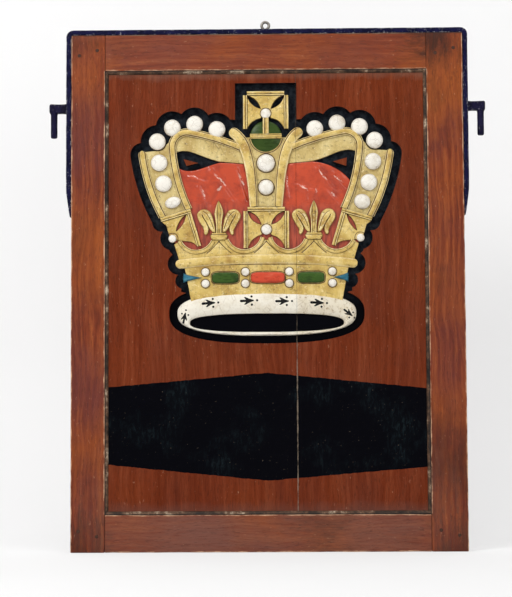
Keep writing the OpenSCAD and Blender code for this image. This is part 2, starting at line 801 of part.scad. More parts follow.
// Half the cap's outline, from the crown axis out and back along the given top edge
function cap_half(edge) = concat(
    [[0, -rib_drop], rib_end - [cap_foot_in, 0]],
    [for (p = half_edge) half_pt(p[0] - 2 * fit, p[1])],
    arc_points(leg_c, leg_r, leg_from - leg_turn + cap_on_leg[0], leg_from - cap_on_leg[1], 3),
    curve(edge[0], edge[1], edge[2], edge[3], 8),
    [for (a = cap_on_centre) polar(centre_c, centre_r, 180 - a)],
    [[centre_foot_x, cross_top], [0, cross_top]]
);
module arch_web_room() {
    translate([half_c[0], half_c[1], -over]) rotate(-half_cross_tilt)
        translate([-cross_half - band_w / 2, cross_top, 0]) cube([far / 4, far / 2, deep]);
}
module cap_left() {
    color("#c8472e") crown() on_left() cap_solid();
}
module cap_right() {
    color("#c8472e") crown() on_right() cap_solid();
}

// Crown: arches

module hoop_room() {
    grow = band_w / 2 + fit;
    arc_blank(hoop_c, hoop_r - grow, hoop_r + grow, limb_from, leg_from - limb_from);
    arc_blank(leg_c, leg_r - grow, leg_r + grow, leg_from, -leg_turn);
    arc_blank(limb_c, limb_r - grow, limb_r + grow, limb_from, limb_turn);
}
module side_bar_room() {
    grow = band_w / 2 + fit;
    arc_blank(bar_c, bar_r - grow, bar_r + grow, bar_from + room_lead, -bar_turn - room_lead);
}
module centre_bar_room() {
    grow = centre_band_w / 2 + fit;
    arc_blank(centre_c, centre_r - grow, centre_r + grow, 180 + room_lead, -centre_turn - room_lead);
}
// What lies on the outer side of a centre bar
module beside_centre_bar() {
    intersection() {
        children();
        disc_room(centre_c, centre_r - centre_band_w / 2 - fit, $fn = arc_fn);
    }
}
// Everything below the top edge of a half cross
module half_cross_room() {
    translate([half_c[0], half_c[1], -over]) rotate(-half_cross_tilt)
        translate([-far, cross_top + fit - far, 0]) cube([2 * far, far, deep]);
}
module hoop() {
    difference() {
        beside_centre_bar() sweep(hoop_path, [for (p = hoop_path) band_w / 2], 0, band_h, band_round);
        half_cross_room();
    }
}
module left_hoop() {
    color("#dcc376") crown() side(-1) hoop();
}
module right_hoop() {
    color("#dcc376") crown() on_right() hoop();
}
// Flat web between the hoop's top limb and the opening over the cap
module hoop_web() {
    lower = curve(web_edge[0], web_edge[1], web_edge[2], web_edge[3], 8);
    difference() {
        beside_centre_bar() linear_extrude(web_h) polygon(concat(
            arc_points(hoop_c, hoop_r, leg_from, limb_from, 6),
            arc_points(limb_c, limb_r, limb_from, limb_from + limb_turn, 3),
            [polar(centre_c, centre_r, 180 - cap_on_centre[0])],
            reversed(lower)
        ));
        hoop_room();
    }
}
module left_hoop_web() {
    color("#d2b868") crown() side(-1) hoop_web();
}
module right_hoop_web() {
    color("#d2b868") crown() on_right() hoop_web();
}
module side_bar() {
    difference() {
        sweep(bar_path, round_end(band_w / 2, bar_path), 0, band_h, band_round);
        half_cross_room();
    }
}
module left_side_bar() {
    color("#dcc376") crown() side(-1) side_bar();
}
module right_side_bar() {
    color("#dcc376") crown() side_bar();
}
// Flat web between the hoop's leg and the side bar, under the pearls
module arch_web() {
    difference() {
        linear_extrude(web_h) polygon(concat(
            arc_points(bar_c, bar_r, bar_from, bar_from - bar_turn, 5),
            arc_points(leg_c, leg_r, leg_from - leg_turn, leg_from - 2, 5)
        ));
        hoop_room();
        side_bar_room();
        half_cross_room();
        disc_room(inner_pearls()[0], pearl_r + fit);
    }
}
module left_arch_web() {
    color("#d2b868") crown() side(-1) arch_web();
}
module right_arch_web() {
    color("#d2b868") crown() arch_web();
}
module centre_bar() {
    sweep(centre_path, round_end(centre_band_w / 2, centre_path), 0, band_h, band_round);
}
module centre_bar_left() {
    color("#dcc376") crown() side(-1) centre_bar();
}
module centre_bar_right() {
    color("#dcc376") crown() on_left() centre_bar();
}
module centre_bar_end() {
    color("#dcc376") crown() on_right() centre_bar();
}
module centre_web() {
    half = concat(
        arc_points(centre_c, centre_r, 180 - centre_turn + web_short, 180, 5),
        [[0, cross_top + fit]]
    );
    color("#d2b868") crown() difference() {
        linear_extrude(web_h) polygon(concat(half, mirrored(half)));
        both_sides() centre_bar_room();
        translate([0, orb_z, -over]) cylinder(r = orb_r + fit, h = deep);
        translate([-far, orb_z, -over]) cube([2 * far, far, deep]);
    }
}

// Crown: orb and crosses

module orb() {
    rise = cap_top_h - web_h;
    color("#3c5f28") crown() difference() {
        translate([0, orb_z, 0]) rotate_extrude() intersection() {
            square([orb_r, cap_top_h]);
            translate([0, cap_top_h - dome_r(orb_r, rise)]) circle(dome_r(orb_r, rise));
        }
        translate([-orb_r - over, orb_z - orb_band_w / 2 - fit, orb_bed_h])
            cube([2 * (orb_r + over), orb_band_w + 2 * fit, deep]);
        translate([-post_w / 2 - fit, orb_z, orb_bed_h]) cube([post_w + 2 * fit, orb_drop, deep]);
        translate([0, top_cross_z - 2 * fit, -over]) linear_extrude(deep)
            polygon([[0, 0], [-far, -far], [-far, far], [far, far], [far, -far]]);
    }
}
module orb_band() {
    color("#dcc376") crown() translate([-orb_r, orb_z - orb_band_w / 2, orb_bed_h])
        cube([2 * orb_r, orb_band_w, band_h - orb_bed_h]);
}
// Three arms of a cross with curved sides, and the bars across their ends
module cross_plate(seat) {
    translate([0, 0, seat]) linear_extrude(cross_h - seat) difference() {
        translate([-cross_half, -cross_half]) square(2 * cross_half);
        for (a = [45, 135, 225, 315]) rotate(a) translate([lens_mid, 0]) lens(lens_len, lens_w);
        polygon([[0, 0], [-2 * cross_half, -2 * cross_half], [2 * cross_half, -2 * cross_half]]);
    }
    for (a = [0, 90, 180]) rotate(a) translate([cross_half, -cross_half - over, seat])
        cube([cross_bar_w, 2 * (cross_half + over), cross_bar_h - seat]);
}
module top_cross() {
    color("#dcc376") crown() translate([0, top_cross_z, 0]) union() {
        cross_plate(0);
        translate([-post_w / 2, -orb_drop + orb_band_w / 2 + fit, orb_bed_h])
            cube([post_w, orb_drop - orb_band_w / 2 - fit, cross_h - orb_bed_h]);
        translate([-post_w / 2, -orb_drop + orb_band_w / 2 + fit, cross_h - over])
            cube([post_w, orb_drop - orb_band_w / 2 - cross_pearl_r - 2 * fit, band_h - cross_h + over]);
    }
}
module centre_cross() {
    color("#dcc376") crown() difference() {
        cross_plate(cap_h);
        swag_room();
    }
}
module half_cross() {
    difference() {
        translate([half_c[0], half_c[1], 0]) rotate(-half_cross_tilt) intersection() {
            cross_plate(cap_h);
            linear_extrude(deep)
                polygon(concat([[-far, -far], [0, -far]], half_edge, [[half_cross_over, far], [-far, far]]));
        }
        swag_room();
        side_pearl_room();
    }
}
module left_half_cross() {
    color("#dcc376") crown() side(-1) half_cross();
}
module right_half_cross() {
    color("#dcc376") crown() half_cross();
}

// Crown: fleurs and swags

// Three petals with rounded tops, the side ones curling over, on a spool-shaped collar
module fleur() {
    translate([fleur_x, 0, 0]) union() {
        sweep(reversed(tip_path), [for (t = reversed(tip_shares)) t * tip_w / 2], cap_h, fleur_h, fleur_h - cross_h);
        both_sides()
            sweep(petal_path, [for (t = petal_shares) t * petal_w / 2], cap_h, fleur_h, fleur_h - cross_h);
        translate([0, 0, cap_h]) linear_extrude(cross_h - cap_h) polygon([
            [-collar_half * collar_neck, collar_top], [-collar_half, collar_mid],
            [-collar_half * collar_neck, field_top + fit], [collar_half * collar_neck, field_top + fit],
            [collar_half, collar_mid], [collar_half * collar_neck, collar_top]
        ]);
    }
}
module left_fleur() {
    color("#e0c97c") crown() side(-1) fleur();
}
module right_fleur() {
    color("#e0c97c") crown() on_right() fleur();
}
module right_fleur_end() {
    color("#e0c97c") crown() on_left() fleur();
}
// Bead along a swag's loop
module swag_bead(c, r, from, to) {
    path = arc_points(c, r, from, to, 10);
    sweep(path, [for (p = path) swag_w / 2], cap_h, swag_h, swag_w / 4);
}
// Gilded field cut by the loops, and the bead that runs along each loop
module swag_rim() {
    half = [
        [0, field_top], [swag_out_x + swag_out_r, field_top],
        half_pt(-half_cross_over, -half_cross_over - fit), half_pt(0, -half_cross_over - fit),
        rib_end
    ];
    difference() {
        translate([0, 0, cap_h]) linear_extrude(swag_field_h - cap_h) polygon(concat(half, mirrored(half)));
        both_sides() {
            disc_room(swag_in_c, swag_in_r - field_bite);
            disc_room(swag_out_c, swag_out_r - field_bite);
        }
        rib_room();
    }
    both_sides() {
        swag_bead(swag_in_c, swag_in_r, swag_in_from, swag_in_to);
        swag_bead(swag_out_c, swag_out_r, swag_out_from, swag_out_to);
    }
}
// Room for the swags and their field: all below their tops but the insides of the loops
module swag_room() {
    reach = swag_out_x + swag_out_r;
    difference() {
        translate([-reach, -far, -over]) cube([2 * reach, far + swag_peak + swag_w / 2 + fit, deep]);
        both_sides() {
            disc_room(swag_in_c, swag_in_r - swag_w / 2 - fit);
            disc_room(swag_out_c, swag_out_r - swag_w / 2 - fit);
        }
    }
}
module swag_rim_left() {
    color("#dcc376") crown() on_left() swag_rim();
}
module swag_rim_right() {
    color("#dcc376") crown() on_right() swag_rim();
}

// Crown: rib, circlet and ermine

module rib_room() {
    grow = rib_w / 2 + fit;
    arc_blank(rib_c, rib_r - grow, rib_r + grow, 90 - rib_turn - room_lead, 2 * (rib_turn + room_lead));
}
module rib() {
    ends = round_end(rib_w / 2, rib_path);
    sweep(rib_path, [for (i = [0:len(ends) - 1]) min(ends[i], reversed(ends)[i])], 0, band_h, band_round);
}
module rib_left() {
    color("#dcc376") crown() on_left() rib();
}
module rib_right() {
    color("#dcc376") crown() on_right() rib();
}
module circlet() {
    low = -ermine_drop + ermine_b / 2;
    difference() {
        linear_extrude(circlet_h) polygon([
            [-circlet_top, -rib_drop - rib_w / 2], [circlet_top, -rib_drop - rib_w / 2],
            [circlet_foot, low], [-circlet_foot, low]
        ]);
        rib_room();
        translate([ermine_c[0], ermine_c[1], -over]) linear_extrude(deep)
            polygon(rounded_bar(ermine_a + fit, ermine_b + fit, ermine_full, ground_steps));
    }
}
module circlet_left() {
    color("#dcc376") crown() on_left() circlet();
}
module circlet_right() {
    color("#dcc376") crown() on_right() circlet();
}
// White fur roll round a dark mouth: a rounded section carried from the outer to the inner outline
module ermine() {
    steps = ermine_steps;
    outer = [for (p = rounded_bar(ermine_a, ermine_b, ermine_full, steps)) p + ermine_c];
    inner = [for (p = rounded_bar(mouth_a, mouth_b, ermine_full, steps)) p + mouth_c];
    section = [
        [0, 0], [0, ermine_edge_h], [0.2, ermine_h - ermine_shoulder], [0.5, ermine_h],
        [0.8, ermine_h - ermine_shoulder], [1, ermine_edge_h], [1, 0]
    ];
    n = len(section);
    points = [
        for (i = [0:steps - 1], s = section)
            let (p = outer[i] * (1 - s[0]) + inner[i] * s[0])
            [p[0], p[1], s[1]]
    ];
    faces = [
        for (i = [0:steps - 1], k = [0:n - 1])
            let (a = i * n + k, b = i * n + (k + 1) % n, j = (i + 1) % steps, c = j * n + (k + 1) % n, d = j * n + k)
            each [[a, b, c], [a, c, d]]
    ];
    polyhedron(points, faces);
}
module ermine_left() {
    color("#f0eee6") crown() on_left() ermine();
}
module ermine_right() {
    color("#f0eee6") crown() on_right() ermine();
}

// Crown: pearls and jewels

// Pearls along the outside of the hoop, and the row between its leg and the side bar
function outer_pearls() = [
    polar(hoop_c, hoop_r + pearl_out, corner_pearl_turn),
    for (along = limb_pearls)
        polar(limb_c, limb_r + pearl_out, limb_from + turn_of(along, limb_r + pearl_out))
];
function inner_pearls() = [
    for (i = [0:3])
        polar(leg_c, row_r, leg_from + turn_of(pearl_row_up - i * pearl_row_step, row_r))
];
module arch_pearls() {
    difference() {
        union() {
            for (p = outer_pearls()) pearl(p, pearl_r, 0, pearl_rise);
            pearl(inner_pearls()[0], pearl_r, 0, pearl_rise);
        }
        hoop_room();
        side_bar_room();
    }
    for (i = [1:3]) pearl(inner_pearls()[i], pearl_r, web_h, pearl_rise);
}
module left_arch_pearls() {
    color("#f0eee6") crown() side(-1) arch_pearls();
}
module right_arch_pearls() {
    color("#f0eee6") crown() arch_pearls();
}
module centre_pearls() {
    color("#f0eee6") crown() {
        pearl([0, orb_z - orb_r - centre_pearl_r - upper_pearl_gap], centre_pearl_r, web_h, pearl_rise);
        pearl([0, cross_top + centre_pearl_r + lower_pearl_gap], centre_pearl_r, web_h, pearl_rise);
        pearl([0, 0], cross_pearl_r, cross_h, small_pearl_rise);
        pearl([0, top_cross_z], cross_pearl_r, cross_h, small_pearl_rise);
    }
}
module side_pearls() {
    color("#f0eee6") crown() both_sides() pearl(half_c, small_pearl_r, 0, small_pearl_rise);
}
module side_pearl_room() {
    both_sides() disc_room(half_c, small_pearl_r + fit);
}
module circlet_pearls() {
    color("#f0eee6") crown() both_sides() for (x = pearl_pairs, e = [-1, 1])
        pearl([x, jewel_z + e * pearl_pair], small_pearl_r, circlet_h, small_pearl_rise);
}
// Oblong stone with a rounded top
module cabochon(half) {
    r = dome_r(jewel_half_w, jewel_rise);
    translate([0, jewel_z, circlet_h]) intersection() {
        translate([0, 0, jewel_rise - r]) union() {
            rotate([0, 90, 0]) cylinder(r = r, h = 2 * (half - jewel_half_w), center = true);
            for (e = [-1, 1]) translate([e * (half - jewel_half_w), 0, 0]) sphere(r);
        }
        translate([-far, -far, 0]) cube([2 * far, 2 * far, deep]);
    }
}
module green_jewel_left() {
    color("#3c5f28") crown() translate([-green_x, 0, 0]) cabochon(green_half);
}
module green_jewel_right() {
    color("#3c5f28") crown() translate([green_x, 0, 0]) cabochon(green_half);
}
module red_jewel() {
    color("#ce4a30") crown() cabochon(red_half);
}
// Pointed stones at the circlet's ends, lying half sunk with their points inwards
module blue_jewels() {
    color("#468ca0") crown() both_sides() intersection() {
        translate([circlet_top - blue_in, jewel_z, circlet_h]) rotate([0, -90, 0])
            cylinder(r1 = blue_half_w, r2 = blue_tip_r, h = blue_len);
        translate([-far, -far, circlet_h]) cube([2 * far, 2 * far, deep]);
    }
}

left_stile();
right_stile();
top_rail();
bottom_rail();
frame_pegs();
left_board();
right_board();
bead_left();
bead_right();
bead_top();
bead_bottom();
hanger_strap();
left_hook();
right_hook();
strap_screws();
screw_eye();
cap_left();
cap_right();
centre_bar_left();
centre_bar_right();
centre_bar_end();
centre_web();
left_hoop();
right_hoop();
left_hoop_web();
right_hoop_web();
left_side_bar();
right_side_bar();
left_arch_web();
right_arch_web();
orb();
orb_band();
top_cross();
centre_cross();
left_half_cross();
right_half_cross();
left_fleur();
right_fleur();
right_fleur_end();
swag_rim_left();
swag_rim_right();
rib_left();
rib_right();
circlet_left();
circlet_right();
ermine_left();
ermine_right();
left_arch_pearls();
right_arch_pearls();
centre_pearls();
side_pearls();
circlet_pearls();
green_jewel_left();
green_jewel_right();
red_jewel();
blue_jewels();
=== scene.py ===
import bpy
import bmesh
import math
import numpy as np
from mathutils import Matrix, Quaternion, Vector, noise
from mathutils.geometry import delaunay_2d_cdt


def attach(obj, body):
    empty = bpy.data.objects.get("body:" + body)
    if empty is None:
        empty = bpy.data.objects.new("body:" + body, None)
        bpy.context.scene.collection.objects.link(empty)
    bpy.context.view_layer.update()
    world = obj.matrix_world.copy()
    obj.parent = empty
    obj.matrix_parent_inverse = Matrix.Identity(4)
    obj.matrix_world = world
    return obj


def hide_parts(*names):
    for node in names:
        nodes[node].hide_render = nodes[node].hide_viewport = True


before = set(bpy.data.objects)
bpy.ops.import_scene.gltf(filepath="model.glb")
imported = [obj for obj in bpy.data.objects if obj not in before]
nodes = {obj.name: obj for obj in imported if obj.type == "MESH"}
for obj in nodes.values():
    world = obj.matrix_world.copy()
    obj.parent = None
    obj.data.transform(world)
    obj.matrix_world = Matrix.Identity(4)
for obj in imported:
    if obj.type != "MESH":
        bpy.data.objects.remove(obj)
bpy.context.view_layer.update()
print("frame loaded:", len(nodes), "nodes")
noise.seed_set(5)  # the same hand-cut unevenness in every run


# sign in millimetres: X right, Z up, front towards -Y
sign = {
    "left": -347.0, "right": 347.0, "top": 138.0, "bottom": -776.0, "front": -19.0, "back": 19.0,
    "leftStile": 60.0, "rightStile": 64.0, "topRail": 65.0, "bottomRail": 65.0,
}
innerLeft = sign["left"] + sign["leftStile"]
innerRight = sign["right"] - sign["rightStile"]
innerTop = sign["top"] - sign["topRail"]
innerBottom = sign["bottom"] + sign["bottomRail"]

# crown drawing: u right, v up, h towards the viewer, from the sunk ground; seat is for what lies over the cap
crown = {
    "axisX": -2.0, "datumZ": -211.0, "groundY": -1.0, "seam": 53.0, "seamHalf": 0.25, "fit": 0.3,
    "seat": 2.5,
}


def onSign(x, y, z):
    return Vector((x / 1000, y / 1000, z / 1000))


def onCrown(u, v, h):
    return onSign(u + crown["axisX"], crown["groundY"] - h, v + crown["datumZ"])


# colours and shader nodes

work = {}  # the material in hand: its node tree, shader, place on the sign and colour so far


def tint(r, g, b):
    # screen colour to the renderer's own scale
    return tuple((c / 3294.6 if c < 11 else ((c / 255 + 0.055) / 1.055) ** 2.4) for c in (r, g, b)) + (1.0,)


def put(kind, inputs, **settings):
    tree = work["tree"]
    node = tree.nodes.new(kind)
    for key, value in settings.items():
        setattr(node, key, value)
    for key, value in inputs.items():
        if isinstance(value, bpy.types.NodeSocket):
            tree.links.new(value, node.inputs[key])
        else:
            node.inputs[key].default_value = value
    return node


def startMaterial(name, gloss=0.5, metal=0.0):
    material = bpy.data.materials.new(name)
    material.use_nodes = True
    tree = material.node_tree
    shader = tree.nodes["Principled BSDF"]
    shader.inputs["Specular IOR Level"].default_value = gloss
    shader.inputs["Metallic"].default_value = metal
    work.update(material=material, tree=tree, shader=shader)
    work["spot"] = put("ShaderNodeTexCoord", {}).outputs["Object"]


def axis(name):
    return put("ShaderNodeSeparateXYZ", {0: work["spot"]}).outputs[name]


def stretched(scale, shift=(0, 0, 0), spot=None):
    inputs = {"Vector": spot or work["spot"], "Scale": scale, "Location": shift}
    return put("ShaderNodeMapping", inputs).outputs["Vector"]


def cloud(scale, detail=3.0, rough=0.55, twist=0.0, spot=None):
    inputs = {"Scale": scale, "Detail": detail, "Roughness": rough, "Distortion": twist}
    return put("ShaderNodeTexNoise", {"Vector": spot or work["spot"], **inputs}).outputs["Fac"]


def crazing(scale, spot=None):
    inputs = {"Vector": spot or work["spot"], "Scale": scale}
    return put("ShaderNodeTexVoronoi", inputs, feature="DISTANCE_TO_EDGE").outputs["Distance"]


def levels(value, low, high, outLow=0.0, outHigh=1.0):
    inputs = {"Value": value, "From Min": low, "From Max": high, "To Min": outLow, "To Max": outHigh}
    return put("ShaderNodeMapRange", inputs).outputs["Result"]


def dabs(scale, detail, rough, low, high, share=1.0, spot=None):
    # patches of a cloud, up to share
    return levels(cloud(scale, detail, rough, 0.0, spot), low, high, 0.0, share)


def sums(kind, a, b=0.0):
    return put("ShaderNodeMath", {0: a, 1: b}, operation=kind).outputs[0]


def plus(a, b):
    return sums("ADD", a, b)


def less(a, b):
    return sums("SUBTRACT", a, b)


def times(a, b):
    return sums("MULTIPLY", a, b)


def swing(value, amount):
    # a cloud as an unevenness to both sides of nought
    return times(less(value, 0.5), amount)


def sheen(value, low, high):
    return levels(value, 0.3, 0.7, low, high)


def ramp(value, *stops):
    node = put("ShaderNodeValToRGB", {"Fac": value})
    band = node.color_ramp
    while len(band.elements) < len(stops):
        band.elements.new(0.5)
    for element, (place, shade) in zip(band.elements, stops):
        element.position = place
        element.color = shade
    return node.outputs["Color"]


def over(share, below, above):
    return put("ShaderNodeMix", {0: share, 6: below, 7: above}, data_type="RGBA").outputs[2]


def marks(name):
    return put("ShaderNodeAttribute", {}, attribute_name=name).outputs["Fac"]


def undercoat(colour):
    work["colour"] = colour


def lay(share, shade):
    work["colour"] = over(share, work["colour"], shade)


def done(rough, height, depth, strength):
    # joins the layers to the shader
    bump = put("ShaderNodeBump", {"Height": height, "Distance": depth, "Strength": strength})
    ends = {"Base Color": work["colour"], "Roughness": rough, "Normal": bump.outputs["Normal"]}
    for key, value in ends.items():
        work["tree"].links.new(value, work["shader"].inputs[key])
    return work["material"]


# woods

stileWood = {
    "along": "z", "shift": (0.0, 0.0, 0.0), "stained": True, "underStrap": 0.1352, "flame": 0.3,
    "smoke": 0.5,
    "dark": tint(98, 38, 18), "mid": tint(122, 55, 29), "light": tint(146, 75, 38),
    "violet": tint(98, 49, 45), "violetShare": 0.75, "orange": tint(152, 78, 30), "warmShare": 0.6,
    "worn": tint(214, 172, 138), "grime": tint(40, 24, 18), "dust": tint(122, 86, 74),
}
railWood = dict(
    stileWood, along="x", flame=0.12, violet=tint(108, 60, 50),
    dark=tint(101, 42, 24), mid=tint(124, 59, 35), light=tint(146, 80, 48),
)
panelWood = dict(
    stileWood, shift=(0.13, 0.0, 0.4), stained=False, flame=0.09, smoke=0.3,
    dark=tint(90, 34, 15), mid=tint(110, 47, 25), light=tint(130, 65, 39),
    violet=tint(98, 53, 40), violetShare=0.45, orange=tint(124, 58, 28), warmShare=0.3,
)

# old stains on the frame: colour, place across and up, reach, strength
stains = (
    ("orange", 0.315, 0.04, 0.1, 0.75), ("orange", -0.325, 0.06, 0.07, 0.5),
    ("violet", -0.32, -0.05, 0.1, 0.6),
    ("grime", 0.3, 0.13, 0.07, 0.85), ("grime", 0.285, 0.03, 0.05, 0.35), ("grime", 0.31, -0.62, 0.11, 0.5),
    ("grime", -0.335, -0.765, 0.06, 0.7), ("grime", 0.335, -0.77, 0.06, 0.6),
    ("grime", -0.34, 0.125, 0.04, 0.5),
    ("violet", -0.32, -0.5, 0.1, 0.5), ("dust", -0.14, -0.745, 0.22, 0.5), ("dust", 0.16, -0.745, 0.2, 0.5),
    ("grime", 0.1, -0.75, 0.07, 0.4),
)


def woodLayers(look):
    # colour of a stained and handled board; gives its roughness and height
    upright = look["along"] == "z"
    spot = work["spot"]
    sway = put("ShaderNodeTexNoise", {"Vector": spot, "Scale": 5.0, "Detail": 2.0}).outputs["Color"]
    inputs = {0: sway, 1: (0.03, 0.03, 0.03), 2: spot}
    bent = put("ShaderNodeVectorMath", inputs, operation="MULTIPLY_ADD").outputs[0]

    def run(share, spot=bent, shift=look["shift"]):
        return stretched((1, 1, share) if upright else (share, 1, 1), shift, spot)

    figure = cloud(75.0, 5.0, 0.65, 0.3, run(0.05))
    fibre = cloud(420.0, 3.0, 0.6, 0.0, run(0.03))
    pores = dabs(700.0, 1.0, 0.55, 0.58, 0.7, 1.0, run(0.12))
    inputs = {"Scale": 26.0, "Distortion": 12.0, "Detail": 4.0, "Detail Scale": 1.2, "Detail Roughness": 0.65}
    way = "X" if upright else "Z"
    flame = put("ShaderNodeTexWave", {"Vector": run(0.09), **inputs}, bands_direction=way).outputs["Fac"]
    tone = plus(swing(flame, look["flame"]), figure)
    undercoat(ramp(tone, (0.25, look["dark"]), (0.5, look["mid"]), (0.76, look["light"])))
    violet = dabs(11.0, 5.0, 0.65, 0.46, 0.72, look["violetShare"], run(0.5, spot))
    lay(violet, look["violet"])
    lay(dabs(6.0, 4.0, 0.55, 0.46, 0.68, look["warmShare"]), look["orange"])
    lay(dabs(9.0, 6.0, 0.7, 0.52, 0.78, look["smoke"], run(0.6, spot, (0.7, 0.0, 0.2))), look["grime"])
    blot = swing(cloud(60.0, 6.0, 0.75, 0.0, run(0.3)), 0.22)
    for stain, across, up, reach, strength in stains if look["stained"] else ():
        inputs = {0: spot, 1: (across, 0.0, up)}
        away = put("ShaderNodeVectorMath", inputs, operation="DISTANCE").outputs["Value"]
        lay(levels(plus(away, blot), reach, 0.2 * reach, 0.0, strength), look[stain])
    lay(levels(fibre, 0.45, 0.75, 0.0, 0.5), look["dark"])
    lay(times(pores, 0.28), look["grime"])
    lay(dabs(150.0, 4.0, 0.7, 0.62, 0.74, 0.28), look["grime"])
    lay(dabs(240.0, 3.0, 0.7, 0.66, 0.76, 0.28, run(0.4)), look["worn"])
    chips = cloud(120.0, 4.0, 0.7, 0.0, run(0.3))
    lay(levels(plus(marks("wear"), times(chips, 1.3)), 1.5, 1.8, 0.0, 0.8), look["worn"])
    lay(levels(marks("carve"), 0.2, 0.9), look["grime"])
    high = plus(axis("Z"), swing(chips, 0.006))
    iron = look["underStrap"]
    lay(levels(high, iron, iron + 0.0015, 0.0, 0.75), look["grime"])  # darker along the top edge, just under the iron
    return levels(plus(fibre, violet), 0.3, 0.9, 0.36, 0.6), less(times(fibre, 0.6), times(pores, 0.8))


def woodMaterial(name, look):
    startMaterial(name, 0.15)
    return done(*woodLayers(look), 0.0006, 0.6)


# painted name band over the boards, left bare, and the black of the sunk ground with its painted sheen, in
# metres
boardPaint = {
    # edges of the band as height, slope each way from the middle and tilt
    "middle": -0.001, "upper": (-0.464, -0.094, -0.0079), "lower": (-0.6526, 0.0927, -0.0099),
    "soft": 0.0004,
    "face": (-0.0122, -0.0126), "floor": (0.006, 0.002), "dark": (-0.345, -0.30),
    # slate is a painted sheen on the sunk black
    "black": tint(2, 2, 6), "scuffed": tint(34, 46, 50), "slateSheen": tint(46, 52, 58),
    "ground": tint(13, 16, 22),
    "seamX": 0.051, "pale": tint(178, 160, 140), "dust": tint(104, 76, 68),
}


def boardMaterial(name):
    look, soft = boardPaint, boardPaint["soft"]
    startMaterial(name, 0.03)
    rough, height = woodLayers(panelWood)
    x, y, z = axis("X"), axis("Y"), axis("Z")
    out = sums("ABSOLUTE", less(x, look["middle"]))
    waver = swing(cloud(70.0), 0.0035)

    def edge(base, fall, tilt):
        return plus(plus(times(x, tilt), plus(times(out, fall), base)), waver)

    below = levels(less(edge(*look["upper"]), z), -soft, soft)
    above = levels(less(z, edge(*look["lower"])), -soft, soft)
    band = times(times(below, above), levels(y, *look["face"]))
    sunk = times(levels(y, *look["face"][::-1]), levels(y, *look["floor"]))
    streaks = cloud(60.0, 6.0, 0.7, 0.4, stretched((0.25, 1, 1)))
    scratch = cloud(210.0, 5.0, 0.75, 0.6, stretched((1, 1, 0.3)))
    patches = dabs(11.0, 4.0, 0.6, 0.5, 0.7, 1.0, stretched((1, 1, 1), (0.21, 0.0, 0.07)))
    nameBlack = over(times(levels(scratch, 0.5, 0.72, 0.05, 1.0), patches), look["black"], look["scuffed"])
    nameBlack = over(dabs(320.0, 2.0, 0.55, 0.72, 0.78, 0.35), nameBlack, look["pale"])
    dark = levels(z, *look["dark"])  # blackest round the fur edge
    # painted sheen: slate-grey patches on the black ground, only above the fur edge
    slateSheen = times(dabs(85.0, 5.0, 0.7, 0.42, 0.68, 0.8), dark)
    sunkBlack = over(slateSheen, over(dark, look["black"], look["ground"]), look["slateSheen"])
    # grey dust along the top and the foot of the panel
    high = plus(z, times(cloud(30.0, 5.0, 0.7), 0.03))
    lay(levels(high, 0.07, 0.092, 0.0, 0.22), look["pale"])
    lay(levels(high, -0.672, -0.694, 0.0, 0.45), look["dust"])
    lay(sunk, sunkBlack)
    lay(band, nameBlack)
    # pale splinters along the open joint, mostly below the crown
    near = levels(sums("ABSOLUTE", less(x, look["seamX"])), 0.0024, 0.0003)
    torn = levels(times(near, cloud(130.0, 4.0, 0.7, 0.0, stretched((1, 1, 0.5)))), 0.32, 0.5)
    lay(times(torn, levels(z, -0.36, -0.46, 0.12, 0.6)), look["pale"])
    paint = sums("MAXIMUM", band, sunk)
    rough = put("ShaderNodeMix", {0: paint, 2: rough, 3: sheen(streaks, 0.3, 0.5)}).outputs[0]
    height = put("ShaderNodeMix", {0: paint, 2: height, 3: times(streaks, 0.5)}).outputs[0]
    return done(rough, height, 0.0006, 0.55)


beadLook = {
    "dark": tint(56, 42, 32), "mid": tint(98, 72, 54), "pale": tint(190, 172, 148), "gap": tint(22, 15, 12),
}


def beadMaterial(name):
    look = beadLook
    startMaterial(name, 0.2)
    patchy = cloud(34.0, 5.0, 0.7)
    fine = cloud(260.0)
    stops = ((0.34, "gap"), (0.45, "dark"), (0.56, "mid"), (0.68, "pale"))
    undercoat(ramp(patchy, *[(place, look[key]) for place, key in stops]))
    lay(levels(fine, 0.52, 0.7, 0.0, 0.6), look["dark"])
    gap = 1.0
    for way, edge in (("X", innerLeft), ("X", innerRight), ("Z", innerTop), ("Z", innerBottom)):
        gap = sums("MINIMUM", gap, sums("ABSOLUTE", less(axis(way), edge / 1000)))
    gap = plus(gap, swing(patchy, 0.003))
    lay(levels(gap, 0.0022, 0.001, 0.0, 0.9), look["gap"])  # darker in the corner against the frame
    return done(sheen(fine, 0.45, 0.75), fine, 0.0006, 0.5)


pegLook = {"dark": tint(46, 30, 25), "light": tint(84, 56, 43), "rings": 900.0}


def pegMaterial(name):
    startMaterial(name, 0.15)
    rings = cloud(pegLook["rings"], 2.0)
    undercoat(over(levels(rings, 0.35, 0.65), pegLook["dark"], pegLook["light"]))
    lay(levels(marks("carve"), 0.3, 0.9), pegLook["dark"])
    return done(sheen(rings, 0.55, 0.8), rings, 0.0004, 0.6)


# paints, gilding and iron

# rim is pale specks, and the painted highlight along the raised edges
giltLook = {
    "pale": tint(224, 200, 134), "gold": tint(206, 177, 99), "deep": tint(168, 132, 64),
    "groove": tint(66, 41, 13), "rim": tint(246, 232, 188),
}
webLook = dict(giltLook, pale=tint(220, 202, 146), gold=tint(202, 179, 116), deep=tint(170, 142, 80))


